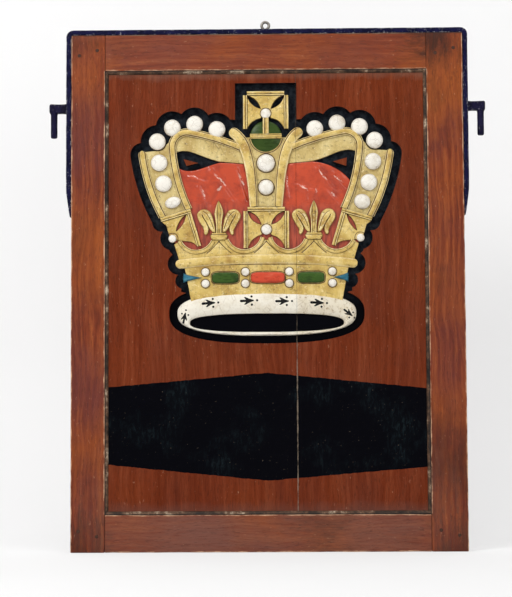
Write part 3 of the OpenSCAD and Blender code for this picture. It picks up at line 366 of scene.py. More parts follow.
def giltMaterial(name, look):
    startMaterial(name, 0.3)
    broad = cloud(34.0, 4.0, 0.6)
    grain = cloud(330.0, 3.0, 0.6, 0.0, stretched((1, 1, 0.12)))
    undercoat(ramp(broad, (0.3, look["deep"]), (0.5, look["gold"]), (0.7, look["pale"])))
    lay(levels(grain, 0.52, 0.72, 0.0, 0.4), look["deep"])
    worn = dabs(150.0, 5.0, 0.72, 0.55, 0.7, 0.7)
    lay(worn, look["groove"])
    lay(dabs(300.0, 4.0, 0.75, 0.58, 0.7, 0.7, stretched((0.5, 1, 1))), look["rim"])
    lay(levels(plus(marks("carve"), swing(cloud(140.0), 0.9)), 0.2, 0.7), look["groove"])
    # painted highlight: paler gold along the edges that stand up
    rimHighlight = levels(cloud(110.0, 4.0), 0.36, 0.58, 0.25, 1.0)
    lay(times(levels(marks("carve"), -0.1, -0.7, 0.0, 0.9), rimHighlight), look["rim"])
    split = levels(crazing(90.0, stretched((1, 1, 0.35))), 0.03, 0.0)
    split = times(split, dabs(22.0, 3.0, 0.55, 0.5, 0.66))
    lay(times(split, 0.6), look["groove"])
    height = less(times(grain, 0.5), plus(split, times(worn, 0.6)))
    return done(sheen(broad, 0.5, 0.36), height, 0.0007, 0.5)


capLook = {
    "gloss": tint(187, 67, 34), "shade": tint(142, 44, 24), "matt": tint(170, 72, 48),
    "mattDark": tint(124, 48, 35),
    "shine": tint(240, 212, 196), "glossFrom": (-0.180, -0.158),
}


def capMaterial(name):
    look = capLook
    startMaterial(name, 0.4)
    glossy = levels(plus(axis("Z"), swing(cloud(45.0), 0.03)), *look["glossFrom"])
    broad = cloud(40.0, 4.0, 0.6)
    gloss = over(levels(broad, 0.45, 0.72), look["gloss"], look["shade"])
    brush = dabs(220.0, 3.0, 0.55, 0.42, 0.66, 1.0, stretched((1, 1, 0.15)))
    undercoat(over(glossy, over(brush, look["matt"], look["mattDark"]), gloss))
    specks = dabs(300.0, 3.0, 0.7, 0.66, 0.74, 0.6)
    lay(specks, look["mattDark"])
    lay(levels(marks("carve"), 0.3, 1.0, 0.0, 0.75), look["mattDark"])
    # painted highlight: pale glints along the fold crests
    shine = times(marks("wear"), dabs(170.0, 4.0, 0.7, 0.36, 0.56))
    lay(levels(shine, 0.2, 0.7, 0.0, 0.8), look["shine"])
    height = plus(times(broad, 1.2), times(specks, -0.4))
    return done(levels(glossy, 0.0, 1.0, 0.5, 0.2), height, 0.0012, 0.5)


# beyondSeam is where the more worn right part begins
furLook = {
    "white": tint(231, 225, 210), "cream": tint(208, 195, 168), "groove": tint(150, 122, 82),
    "crack": tint(150, 128, 98), "crackScale": 60.0, "cracked": 0.55, "beyondSeam": 0.0512,
}
pearlLook = {
    "white": tint(234, 229, 218), "cream": tint(196, 183, 158), "groove": tint(104, 78, 50),
    "crack": tint(120, 98, 70), "crackScale": 120.0, "cracked": 0.9, "specked": 0.55, "beyondSeam": None,
}


def whiteMaterial(name, look):
    startMaterial(name, 0.25)
    broad = cloud(48.0, 5.0, 0.65)
    undercoat(over(levels(broad, 0.48, 0.74, 0.0, 0.8), look["white"], look["cream"]))
    cracks = levels(crazing(look["crackScale"]), 0.025, 0.0)
    cracks = times(cracks, dabs(70.0, 3.0, 0.55, 0.44, 0.6, look["cracked"]))
    seam = look["beyondSeam"]
    if seam is None:
        specks = dabs(420.0, 3.0, 0.7, 0.66, 0.74, look["specked"])
    else:
        past = levels(axis("X"), seam, seam + 0.004)
        specks = dabs(260.0, 4.0, 0.7, 0.54, 0.7, 1.0, stretched((1, 1, 0.6)))
        specks = times(specks, levels(past, 0.0, 1.0, 0.2, 0.9))
        lay(times(past, 0.45), look["cream"])
    lay(specks, look["groove"])
    lay(cracks, look["crack"])
    lay(levels(plus(marks("carve"), swing(cloud(150.0), 0.7)), 0.3, 0.95, 0.0, 0.9), look["groove"])
    return done(sheen(broad, 0.4, 0.56), less(times(broad, 0.6), cracks), 0.0006, 0.45)


# glossy painted stones, and the tails: main, deep and light colour
stoneLook = {
    "orbGreen": (tint(47, 68, 20), tint(26, 40, 12), tint(72, 92, 38)),
    "jewelGreen": (tint(52, 80, 26), tint(26, 38, 14), tint(88, 112, 54)),
    "jewelRed": (tint(196, 72, 48), tint(128, 42, 28), tint(214, 112, 84)),
    "jewelBlue": (tint(46, 106, 126), tint(24, 58, 74), tint(98, 150, 162)),
    "tailBlack": (tint(8, 8, 9), tint(4, 4, 5), tint(22, 21, 21)),
}


def stoneMaterial(name):
    main, deep, light = stoneLook[name]
    startMaterial(name, 0.16)
    brush = cloud(130.0, 4.0, 0.65, 0.0, stretched((0.35, 1, 1)))
    undercoat(ramp(brush, (0.2, deep), (0.46, main), (0.56, main), (0.86, light)))
    lay(levels(marks("carve"), 0.25, 0.95), deep)
    lay(dabs(380.0, 3.0, 0.7, 0.68, 0.76, 0.5), light)
    return done(sheen(brush, 0.22, 0.4), brush, 0.0007, 0.5)


ironLook = {
    "black": tint(8, 8, 32), "navy": tint(24, 24, 62), "chip": tint(158, 156, 162),
    "rust": tint(52, 42, 52),
    "flecked": 0.5, "chipped": 1.04,
}
hookLook = dict(ironLook, black=tint(12, 10, 30), navy=tint(30, 27, 58), flecked=0.4, chipped=1.06)


def ironMaterial(name, look):
    startMaterial(name, 0.05)
    broad = cloud(60.0, 5.0, 0.65)
    fine = cloud(420.0, 3.0, 0.6)
    undercoat(over(levels(broad, 0.38, 0.7), look["black"], look["navy"]))
    lay(dabs(210.0, 4.0, 0.7, 0.62, 0.72, 0.55), look["rust"])
    worn = plus(times(marks("wear"), 0.5), cloud(150.0, 5.0, 0.75))
    chips = levels(worn, look["chipped"], look["chipped"] + 0.08, 0.0, 0.8)
    lay(chips, look["chip"])
    lay(dabs(330.0, 4.0, 0.75, 0.6, 0.7, look["flecked"], stretched((1, 1, 0.5))), look["chip"])
    height = less(plus(times(broad, 1.4), times(fine, 0.4)), chips)
    return done(sheen(fine, 0.36, 0.58), height, 0.0009, 0.6)


steelLook = {"screw": (tint(34, 34, 40), tint(84, 80, 76)), "eye": (tint(88, 82, 76), tint(152, 146, 138))}


def steelMaterial(name, dark, light):
    startMaterial(name, metal=0.7)
    fine = cloud(520.0, 4.0, 0.7)
    undercoat(over(levels(plus(fine, times(marks("wear"), 0.25)), 0.4, 0.8), dark, light))
    lay(levels(marks("carve"), 0.3, 0.9), dark)
    return done(sheen(fine, 0.34, 0.6), fine, 0.0004, 0.5)


# dirt in the board joint, paler between two heights and less so again at the foot
jointLook = {
    "dark": tint(20, 13, 11), "pale": tint(146, 134, 118), "from": (-0.40, -0.47), "end": (-0.66, -0.6),
}


def jointMaterial(name):
    startMaterial(name, 0.1)
    z = axis("Z")
    crumbs = cloud(110.0, 5.0, 0.7, 0.0, stretched((1, 1, 0.4)))
    share = times(levels(crumbs, 0.5, 0.7), levels(z, *jointLook["from"]))
    share = times(share, levels(z, *jointLook["end"], 0.25, 1.0))
    undercoat(over(share, jointLook["dark"], jointLook["pale"]))
    return done(sheen(crumbs, 0.6, 0.9), crumbs, 0.0005, 0.6)


finish = {
    "stile_wood": woodMaterial("stileWood", stileWood),
    "rail_wood": woodMaterial("railWood", railWood),
    "peg_wood": pegMaterial("pegWood"),
    "board_wood": boardMaterial("boardWood"),
    "bead_wood": beadMaterial("beadWood"),
    "strap_iron": ironMaterial("strapIron", ironLook),
    "hook_iron": ironMaterial("hookIron", hookLook),
    "screw_steel": steelMaterial("screwSteel", *steelLook["screw"]),
    "eye_steel": steelMaterial("eyeSteel", *steelLook["eye"]),
    "cap_red": capMaterial("capRed"),
    "gilt": giltMaterial("gilt", giltLook),
    "gilt_web": giltMaterial("giltWeb", webLook),
    "orb_green": stoneMaterial("orbGreen"),
    "ermine_white": whiteMaterial("ermineWhite", furLook),
    "pearl_white": whiteMaterial("pearlWhite", pearlLook),
    "jewel_green": stoneMaterial("jewelGreen"),
    "jewel_red": stoneMaterial("jewelRed"),
    "jewel_blue": stoneMaterial("jewelBlue"),
}
jointDirt = jointMaterial("jointDirt")
tailBlack = stoneMaterial("tailBlack")
print("finishes made:", len(finish) + 2)


# drawing and mesh helpers


def polar(c, r, turn):
    a = math.radians(turn)
    return (c[0] + r * math.cos(a), c[1] + r * math.sin(a))


def arc(c, r, start, end, steps):
    return [polar(c, r, start + (end - start) * i / steps) for i in range(steps + 1)]


def ringAt(c, r, count=24):
    return arc(c, r, 0, 360 - 360 / count, count - 1)


def circle(count):
    turns = [2 * math.pi * k / count for k in range(count)]
    return [(math.cos(t), math.sin(t)) for t in turns]


def between(a, b, k, parts):
    return tuple(p + (q - p) * k / parts for p, q in zip(a, b))


def curve(a, b, c, d, steps):
    line = []
    for i in range(steps + 1):
        t = i / steps
        s = 1 - t
        line.append(tuple(
            s ** 3 * p + 3 * s * s * t * q + 3 * s * t * t * r + t ** 3 * e for p, q, r, e in zip(a, b, c, d)
        ))
    return line


def flipped(points):
    return [(-u, v) for u, v in reversed(points)]


def turned(points, turn):
    a = math.radians(turn)
    return [(u * math.cos(a) - v * math.sin(a), u * math.sin(a) + v * math.cos(a)) for u, v in points]


def turnOf(length, r):
    return math.degrees(length / r)


def roundedBar(c, a, b, full, steps):
    def power(x):
        return math.copysign(abs(x) ** (2 / full), x)
    turns = [2 * math.pi * (i + 0.5) / steps for i in range(steps)]
    return [(c[0] + a * power(math.cos(t)), c[1] + b * power(math.sin(t))) for t in turns]


def pairs(points, closed):
    points = list(points)
    return list(zip(points, points[1:] + points[:1] if closed else points[1:]))


def resampled(points, step, closed):
    line = []
    for a, b in pairs(points, closed):
        parts = max(1, round(math.dist(a, b) / step))
        line += [between(a, b, k, parts) for k in range(parts)]
    return line if closed else line + [points[-1]]


def spaced(outline):
    # drops points that fall on the one before
    return [p for i, p in enumerate(outline) if math.dist(p, outline[i - 1]) > 0.2]


def sideways(points, closed):
    # unit vectors across a line, at each of its points
    q = np.asarray(points, float)
    ahead, behind = np.roll(q, -1, 0), np.roll(q, 1, 0)
    if not closed:
        ahead[-1], behind[0] = q[-1], q[0]
    run = ahead - behind
    return np.stack([run[:, 1], -run[:, 0]], 1) / np.maximum(np.linalg.norm(run, axis=1), 1e-9)[:, None]


def awayFrom(points, lines):
    # distance of each point from the nearest segment, (start, end) pairs
    p = np.asarray(points, float)
    if not len(p):
        return np.zeros(0)
    s = np.asarray(lines, float)
    a, ab = s[:, 0], s[:, 1] - s[:, 0]
    ap = p[:, None, :] - a[None]
    t = np.clip((ap * ab[None]).sum(2) / np.maximum((ab * ab).sum(1), 1e-9)[None], 0, 1)
    return np.sqrt(((ap - t[..., None] * ab[None]) ** 2).sum(2)).min(1)


def within(points, loops):
    p = np.asarray(points, float)
    hit = np.zeros(len(p), bool)
    for loop in loops:
        for (x0, y0), (x1, y1) in pairs(loop, True):
            if y0 == y1:
                continue
            cross = (p[:, 1] > min(y0, y1)) & (p[:, 1] <= max(y0, y1))
            hit ^= cross & (p[:, 0] < (x1 - x0) * (p[:, 1] - y0) / (y1 - y0) + x0)
    return hit


def ripple(u, v, grain, seed):
    return noise.noise(Vector((u * grain, v * grain, seed)))


def uneven(height, amount, grain, seed):
    return lambda u, v: height + amount * ripple(u, v, grain, seed)


def blank():
    bm = bmesh.new()
    bm.verts.layers.float.new("carve")
    bm.verts.layers.float.new("wear")
    return bm


def carveOf(bm):
    return bm.verts.layers.float["carve"]


def wearAndGlintOf(bm):
    return bm.verts.layers.float["wear"]


def gathered(parts):
    # several pieces of mesh as one
    whole = parts[0]
    for part in parts[1:]:
        spare = bpy.data.meshes.new("spare")
        part.to_mesh(spare)
        part.free()
        whole.from_mesh(spare)
        bpy.data.meshes.remove(spare)
    return whole


def moved(bm, place):
    # passes each point's u and v through place
    for vert in bm.verts:
        vert.co.x, vert.co.y = place(vert.co.x, vert.co.y)
    return bm


def mirroredMesh(bm):
    moved(bm, lambda u, v: (-u, v))
    bmesh.ops.reverse_faces(bm, faces=bm.faces[:])
    return bm


def cutAway(bm, point, normal, close=True):
    # drops what lies on the normal's side of a plane
    whole = bm.verts[:] + bm.edges[:] + bm.faces[:]
    plane = {"plane_co": point, "plane_no": normal}
    done = bmesh.ops.bisect_plane(bm, geom=whole, dist=1e-4, clear_outer=True, **plane)
    rim = [e for e in done["geom_cut"] if isinstance(e, bmesh.types.BMEdge) and e.is_boundary]
    if close and rim:
        bmesh.ops.edgeloop_fill(bm, edges=rim)
    return bm


def leftOfSeam(bm, close=True):
    return cutAway(bm, (crown["seam"] - crown["seamHalf"], 0, 0), (1, 0, 0), close)


def rightOfSeam(bm, close=True):
    return cutAway(bm, (crown["seam"] + crown["seamHalf"], 0, 0), (-1, 0, 0), close)


def handCut(bm, amount, grain, seed):
    # small unevenness of hand work
    for vert in bm.verts:
        shake = noise.noise_vector(vert.co * grain + Vector((seed, seed * 0.7, 3.1)))
        vert.co += Vector((shake.x, shake.y, shake.z * 0.6)) * amount
    return bm


def nodeOf(name):
    # the same words as the solids write them
    return "".join("_" + c.lower() if c.isupper() else c for c in name)


def finishPiece(bm, name, slotName, place=onCrown, sharp=42.0, replaced=None, paints=None):
    for vert in bm.verts:
        vert.co = place(*vert.co)
    mesh = bpy.data.meshes.new(name)
    bm.to_mesh(mesh)
    bm.free()
    for paint in paints or [finish[slotName]]:
        mesh.materials.append(paint)
    mesh.polygons.foreach_set("use_smooth", [True] * len(mesh.polygons))
    mesh.set_sharp_from_angle(angle=math.radians(sharp))
    piece = bpy.data.objects.new(name, mesh)
    bpy.context.scene.collection.objects.link(piece)
    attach(piece, "root")
    replaced = [nodeOf(name)] if replaced is None else replaced
    if replaced:
        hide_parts(*replaced)
    return piece


def carved(bm, name, slotName="gilt", amount=0.35, grain=0.045, seed=0.0, **settings):
    finishPiece(handCut(bm, amount, grain, seed), name, slotName, **settings)


def halves(make, name, slotName="gilt", **settings):
    # a piece in two, on either side of the board joint
    for part, side in ((leftOfSeam, "Left"), (rightOfSeam, "Right")):
        carved(make(part), name + side, slotName, **settings)


def reliefSheet(loops, height, step=3.5, edge=1.2, drop=0.9, lines=(), patches=(), rim=0.55):
    # carved sheet inside closed outlines; lines are (points, closed, half width, depth)
    rings = [resampled(loop, step * 0.7, True) for loop in loops]
    walls = [pair for ring in rings for pair in pairs(ring, True)]
    stamps = [resampled(loop, 0.9, True) for loop in patches]
    cuts = [(resampled(line, step * 0.6, closed), closed, half, depth) for line, closed, half, depth in lines]
    points, edges, loose = [], [], []
    for ring in rings + stamps:
        first = len(points)
        points += ring
        edges += [(first + i, first + (i + 1) % len(ring)) for i in range(len(ring))]

    def scatter(track, clear):
        loose.append(track[within(track, rings) & (awayFrom(track, walls) > clear)])

    for ring in rings:
        for share in (0.3, 1.0):
            for way in (-1, 1):
                scatter(np.asarray(ring) + sideways(ring, True) * way * share * edge, share * edge * 0.85)
    for line, closed, half, depth in cuts:
        for way in (-1, 0, 1):
            scatter(np.asarray(line) + sideways(line, closed) * way * half, 0.35)
    outer = np.asarray([p for ring in rings for p in ring])
    low, high = outer.min(0), outer.max(0)
    rows = np.arange(low[1], high[1], step * 0.866)
    grid = [(u + (k % 2) * step / 2, v) for k, v in enumerate(rows) for u in np.arange(low[0], high[0], step)]
    grid = np.asarray(grid)
    keep = within(grid, rings) & (awayFrom(grid, walls) > edge + step * 0.4)
    for line, closed, half, depth in cuts:
        keep &= awayFrom(grid, pairs(line, closed)) > half + step * 0.35
    for stamp in stamps:
        keep &= awayFrom(grid, pairs(stamp, True)) > step * 0.3
    loose.append(grid[keep])
    points += [tuple(p) for group in loose for p in group]
    made = delaunay_2d_cdt([Vector(p) for p in points], edges, [], 0, 1e-4)
    flat = np.asarray([tuple(p) for p in made[0]])
    corners = np.asarray([f for f in made[2] if len(f) == 3])
    corners = corners[within(flat[corners].mean(1), rings)]
    stamped = within(flat[corners].mean(1), stamps)
    inward = awayFrom(flat, walls)
    share = np.clip(inward / edge, 0, 1)
    tops = np.asarray([height(u, v) for u, v in flat]) - drop * (1 - np.sqrt(1 - (1 - share) ** 2))
    carve = rim * np.clip(1 - inward / max(edge, 0.8), 0, 1)
    for line, closed, half, depth in cuts:
        near = np.clip(1 - awayFrom(flat, pairs(line, closed)) / half, 0, 1)
        tops -= depth * near
        carve = np.maximum(carve, near)
    bm = blank()
    verts = [bm.verts.new((u, v, h)) for (u, v), h in zip(flat, tops)]
    for vert, value in zip(verts, carve):
        vert[carveOf(bm)] = value
    for (a, b, c), mark in zip(corners, stamped):
        ab, ac = flat[b] - flat[a], flat[c] - flat[a]
        turn = ab[0] * ac[1] - ab[1] * ac[0]
        if abs(turn) < 1e-6:
            continue
        face = bm.faces.new((verts[a], verts[b], verts[c]) if turn > 0 else (verts[a], verts[c], verts[b]))
        face.material_index = int(mark)
    bmesh.ops.delete(bm, geom=[v for v in bm.verts if not v.link_faces], context="VERTS")
    return bm


def skirted(bm, seat=0.0, dirt=0.85):
    # walls from every open edge down to the seat, darker at their foot
    bm.edges.ensure_lookup_table()
    rim = [e.link_loops[0] for e in bm.edges if e.is_boundary]
    rim = [(loop.vert, loop.link_loop_next.vert) for loop in rim]
    feet = {}
    for vert in dict.fromkeys(v for pair in rim for v in pair):
        foot = bm.verts.new((vert.co.x, vert.co.y, min(seat, vert.co.z - 0.1)))
        foot[carveOf(bm)] = dirt
        feet[vert] = foot
    for a, b in rim:
        bm.faces.new((b, a, feet[a], feet[b]))
    return bm


def loft(stations, start=True, end=True):
    # skin over rings of (point, wear and glint, carve), closed at its start and end
    bm = blank()
    rows = []
    for station in stations:
        row = []
        for point, rub, dirt in station:
            vert = bm.verts.new(point)
            vert[wearAndGlintOf(bm)] = rub
            vert[carveOf(bm)] = dirt
            row.append(vert)
        rows.append(row)
    for lower, upper in zip(rows, rows[1:]):
        for (a, b), (c, d) in zip(pairs(lower, True), pairs(upper, True)):
            bm.faces.new((a, b, d, c))
    if start:
        bm.faces.new(rows[0][::-1])
    if end:
        bm.faces.new(rows[-1])
    return bm


def turnedOut(bm):
    bmesh.ops.recalc_face_normals(bm, faces=bm.faces[:])
    return bm


def bandAlong(path, sizes, section, seat, top):
    # moulding carried along a path; section rows are (share of half width, drop or None for the foot, carve
    # tone: darker above nought, a painted highlight below it)
    rows = []
    for (u, v), (a, b), half in zip(path, sideways(path, False), sizes):
        row = []
        for share, lost, dirt in section:
            point = (u + a * half * share, v + b * half * share, seat if lost is None else top - lost)
            row.append((point, 0.0, dirt))
        rows.append(row)
    return turnedOut(loft(rows))


def straight(a, b, half, section, seat, top, steps=14):
    path = [between(a, b, i, steps) for i in range(steps + 1)]
    return bandAlong(path, [half] * len(path), section, seat, top)


def bothWays(half):
    # whole section from its left half, the middle row last
    return half + [(-share, lost, dirt) for share, lost, dirt in reversed(half[:-1])]


def roundEnd(half, path):
    # half widths that close to a round end over the first points of a path
    reach = [min(math.dist(p, path[0]) + half / 14, half) for p in path]
    return [math.sqrt(half * half - (half - d) ** 2) for d in reach]


def leadIn(p, turn, reach):
    return [polar(p, reach * t, turn) for t in (1, 0.97, 0.9, 0.78, 0.6, 0.4, 0.2)]


def barSection(halfA, halfB, r):
    # rounded oblong, anticlockwise, as (a, b, wear)
    ring = []
    for q, (sa, sb) in enumerate(((1, 1), (-1, 1), (-1, -1), (1, -1))):
        c = (sa * (halfA - r), sb * (halfB - r))
        ring += [(*polar(c, r, q * 90 + t), 1.0) for t in (0, 30, 60, 90)]
        length = 2 * ((halfA if q % 2 == 0 else halfB) - r)
        near, far = (2.2, 7.0) if length > 24 else (length * 0.15, length * 0.38)
        start = polar(c, r, q * 90 + 90)
        for d, rub in ((near, 0.5), (far, 0.1), (length - far, 0.1), (length - near, 0.5)):
            ring.append((*polar(start, d, q * 90 + 180), rub))
    return ring


print("tools ready")


# frame of stiles and rails

plankLook = {
    "arris": 1.3, "station": 13.0, "wave": 0.14, "dings": 1.1, "tenon": (6.0, 18.5), "tenonProud": 0.35,
    "railGap": 0.15, "railBack": 0.25, "joined": 9.0,
}


def plank(low, high, along, seed, endDirt, joined=None):
    a, b, t = (0, 1, 2) if along == "z" else (1, 2, 0)
    mid = [(p + q) / 2 for p, q in zip(low, high)]
    half = [(q - p) / 2 for p, q in zip(low, high)]
    r = plankLook["arris"]
    length = 2 * half[t]
    count = round(length / plankLook["station"])
    stops = [(0.0, r), (r * 0.3, r * 0.35)]
    stops += [(r + (length - 2 * r) * i / count, 0.0) for i in range(count + 1)]
    stops += [(length - r * 0.3, r * 0.35), (length, r)]
    stations = []
    for s, inset in stops:
        atEnd = 1.0 if s < 1.0 or s > length - 1.0 else 0.0
        ring = []
        for pa, pb, rub in barSection(half[a] - inset, half[b] - inset, r):
            point = [0.0, 0.0, 0.0]
            point[a], point[b], point[t] = mid[a] + pa, mid[b] + pb, low[t] + s
            ring.append((point, max(rub, atEnd * 0.8 * (1 - endDirt)), atEnd * endDirt))
        stations.append(ring)
    bm = loft(stations)
    wear = wearAndGlintOf(bm)
    for vert in bm.verts:
        x, y, z = vert.co
        if joined is not None and abs(x - joined) < plankLook["joined"] and not innerBottom < z < innerTop:
            vert[wear] = 0.0  # no rubbing where a rail meets the stile
        ding = max(0.0, noise.noise(vert.co * 0.05 + Vector((0, seed, seed)))) * vert[wear]
        wave = noise.noise_vector(vert.co * 0.012 + Vector((seed, seed * 1.7, 0))) * plankLook["wave"]
        inward = Vector(mid) - vert.co
        inward[t] = 0.0
        vert.co += inward.normalized() * ding * plankLook["dings"] + wave
    return bm


def tenonEnd(x, z, way):
    # end grain of a through tenon, a little proud of the stile's edge
    wide, tall = plankLook["tenon"]
    proud = plankLook["tenonProud"]
    stations = []
    for out, inset in ((-3.0, 0.0), (proud - 0.2, 0.0), (proud, 0.5)):
        section = barSection(wide - inset, tall - inset, 0.6)
        stations.append([((x + way * out, way * pa, z + pb), rub * 0.4, 0.35) for pa, pb, rub in section])
    return loft(stations)


front, back = sign["front"], sign["back"]
for name, left, right, joined, seed in (
    ("leftStile", sign["left"], innerLeft, innerLeft, 1.0),
    ("rightStile", innerRight, sign["right"], innerRight, 5.0),
):
    bar = plank((left, front, sign["bottom"]), (right, back, sign["top"]), "z", seed, 0.0, joined)
    finishPiece(bar, name, "stile_wood", onSign)
gap, inset = plankLook["railGap"], plankLook["railBack"]
for name, low, high, seed in (
    ("topRail", innerTop, sign["top"], 9.0), ("bottomRail", sign["bottom"], innerBottom, 14.0),
):
    bar = plank((innerLeft + gap, front + inset, low), (innerRight - gap, back - inset, high), "x", seed, 0.5)
    ends = [tenonEnd(x, (low + high) / 2, way) for x, way in ((sign["left"], -1), (sign["right"], 1))]
    finishPiece(gathered([bar] + ends), name, "rail_wood", onSign)
print("stiles and rails made")


# draw pegs, seen as uneven dark ends on the front and the back; rings are share of radius, rise and how much
# darker
pegs = {
    "radius": 3.1, "acrossHalf": 16.0, "upHalf": 4.5, "proud": 0.5, "segments": 20,
    "rings": ((1.0, -1.2, 1.0), (1.0, 0.1, 0.9), (0.86, 0.5, 0.3), (0.5, 0.62, 0.1)),
}


def pegEnd(x, z, y, way, seed):
    lift = pegs["proud"] / pegs["rings"][-1][1]
    stations = []
    for share, rise, dirt in pegs["rings"]:
        ring = []
        for c, s in circle(pegs["segments"]):
            r = pegs["radius"] * share * (1 + 0.09 * noise.noise(Vector((c, s, seed))))
            ring.append(((x + way * r * c, y - way * rise * lift, z + r * s), 0.0, dirt))
        stations.append(ring)
    return loft(stations, False)


pegParts = []
for cz, lean in ((sign["top"] - sign["topRail"] / 2, 1), (sign["bottom"] + sign["bottomRail"] / 2, -1)):
    for cx in ((sign["left"] + innerLeft) / 2, (sign["right"] + innerRight) / 2):
        for e in (-1, 1):
            x, z = cx + e * pegs["acrossHalf"], cz + e * lean * pegs["upHalf"]
            pegParts += [pegEnd(x, z, front, 1, x + z), pegEnd(x, z, back, -1, x - z)]
finishPiece(gathered(pegParts), "framePegs", "peg_wood", onSign)

# boards and bead strips keep their solids
for node in ("left_board", "right_board", "bead_left", "bead_right", "bead_top", "bead_bottom"):
    solid = nodes[node]
    solid.data.materials.clear()
    solid.data.materials.append(finish["bead_wood" if node.startswith("bead") else "board_wood"])

# old dirt and filler in the open joint, below the faces on both sides of it
joint = {
    "x": 51.0, "half": 0.2, "face": -12.6, "inGround": -0.6, "back": 8.6, "ground": (-412.0, 51.0),
    "ends": (-720.0, 82.0), "step": 9.0, "crumble": 0.25,
}


def jointMesh():
    (foot, head), (low, high) = joint["ends"], joint["ground"]
    face, inGround, behind = joint["face"], joint["inGround"], joint["back"]
    stops = [(foot, face), (low, face), (low, inGround), (high, inGround), (high, face), (head, face)]
    stations = []
    for z, y in resampled(stops, joint["step"], False):
        y += joint["crumble"] * noise.noise(Vector((z * 0.11, 0, 0)))
        corners = ((-1, behind), (-1, y), (1, y), (1, behind))
        stations.append([((joint["x"] + side * joint["half"], deep, z), 0.0, 0.0) for side, deep in corners])
    return turnedOut(loft(stations))


finishPiece(jointMesh(), "jointDirt", "board_wood", onSign, replaced=[], paints=[jointDirt])
print("pegs, boards and beads done")


# iron strap, hooks, screws and eye

strap = {
    "thick": 9.5, "wide": 34.0, "bend": 12.0, "leg": 325.0, "taper": 45.0, "tip": 3.0, "arris": 1.6,
    "hammer": 0.35,
    "legSteps": 30, "topSteps": 60,
}


def strapMesh():
    thick, tip, hammer = strap["thick"], strap["tip"], strap["hammer"]
    inner = strap["bend"] - thick
    end, legTop = sign["top"] - strap["leg"], sign["top"] - inner
    leg = []  # (x, z, turn of the outward normal, thickness)
    for i in range(strap["legSteps"] + 1):
        z = end + (legTop - end) * i / strap["legSteps"]
        leg.append((sign["left"], z, 180.0, tip + (thick - tip) * min(1.0, (z - end) / strap["taper"])))
    for turn in (157.5, 135.0, 112.5):
        leg.append((*polar((sign["left"] + inner, legTop), inner, turn), turn, thick))
    ends = ((sign["left"] + inner,), (sign["right"] - inner,))
    steps = strap["topSteps"]
    path = leg + [(*between(*ends, i, steps), sign["top"], 90.0, thick) for i in range(steps + 1)]
    path += [(-x, z, 180.0 - turn, t) for x, z, turn, t in reversed(leg)]
    stations = []
    for i, (x, z, turn, t) in enumerate(path):
        out = polar((0, 0), 1.0, turn)
        slim = 0.5 if i in (0, len(path) - 1) else 0.0
        ring = []
        section = barSection(t / 2 - slim, strap["wide"] / 2 - slim, min(strap["arris"], t / 2.4 - slim))
        for pa, pb, rub in section:
            lift = t / 2 + pa
            point = Vector((x + out[0] * lift, -pb, z + out[1] * lift))
            beat = noise.noise(point * 0.06) * hammer * (1.0 if pa > 0 else 0.2)
            side = noise.noise(point * 0.05 + Vector((9, 0, 0))) * hammer
            ring.append((point + Vector((out[0] * beat, side, out[1] * beat)), rub, 0.0))
        stations.append(ring)
    return loft(stations)


finishPiece(strapMesh(), "hangerStrap", "strap_iron", onSign)

hook = {
    "pinX": 380.0, "pinR": 6.0, "pinLength": 44.0, "armHalfDeep": 7.0, "armTall": 17.0, "armOver": 8.0,
    "arris": 2.4,
    "hammer": 0.3, "segments": 24,
}


def hookMesh():
    start = sign["right"] + strap["thick"] - 0.3
    end = hook["pinX"] + hook["armOver"]
    foot = -hook["pinLength"]
    r = hook["arris"]
    middle = hook["armTall"] / 2
    arm, pin = [], []
    # a small upset collar against the strap, then the drawn arm, then its rounded end
    for x, grow in (
        (start, 0.6), (start + 1.6, 0.6), (start + 3.0, -0.1), (start + 8, -0.5), (start + 14, -0.6),
        (start + 20, -0.3), (end - 6, 0.0), (end - r, 0.0), (end - r * 0.35, -r * 0.3), (end, -r),
    ):
        ring = []
        for pa, pb, rub in barSection(hook["armHalfDeep"] + grow, middle + min(grow, 0.0), r):
            point = Vector((x, pa, middle + pb))
            ring.append((point + noise.noise_vector(point * 0.09) * hook["hammer"], rub, 0.0))
        arm.append(ring)
    for z, size in (
        (foot, 0.62), (foot + 0.7, 0.86), (foot + 2.4, 0.98), (-34, 1.0), (-24, 0.985), (-12, 1.0),
        (-4, 1.0),
        (-1.4, 1.04), (0.4, 1.16), (6, 1.1),
    ):
        ring = []
        for c, s in circle(hook["segments"]):
            point = Vector((hook["pinX"] + hook["pinR"] * size * c, hook["pinR"] * size * s, z))
            shake = noise.noise_vector(point * 0.12) * hook["hammer"] * 0.5
            ring.append((point + shake, 0.7 if z < foot + 2 else 0.15, 0.0))
        pin.append(ring)
    return gathered([loft(arm), loft(pin)])


finishPiece(hookMesh(), "rightHook", "hook_iron", onSign)
finishPiece(mirroredMesh(hookMesh()), "leftHook", "hook_iron", onSign)

screws = {
    "radius": 5.0, "slotHalf": 0.7, "slotDepth": 1.0, "topX": (-240.0, -80.0, 80.0, 240.0),
    "legZ": (56.0, -92.0),
    "proud": 0.35, "deep": -1.5,
}


def screwHead(turn, place):
    slot = [polar((0, 0), screws["radius"] - 0.3, turn + half) for half in (180, 0)]
    lines = [(slot, False, screws["slotHalf"], screws["slotDepth"])]
    ring = ringAt((0, 0), screws["radius"])
    bm = reliefSheet([ring], lambda u, v: screws["proud"], step=1.3, edge=0.8, drop=0.5, lines=lines)
    for vert in bm.verts:
        vert[wearAndGlintOf(bm)] = max(0.0, 0.8 - vert[carveOf(bm)])
    skirted(bm, screws["deep"])
    for vert in bm.verts:
        vert.co = place(*vert.co)
    return bm


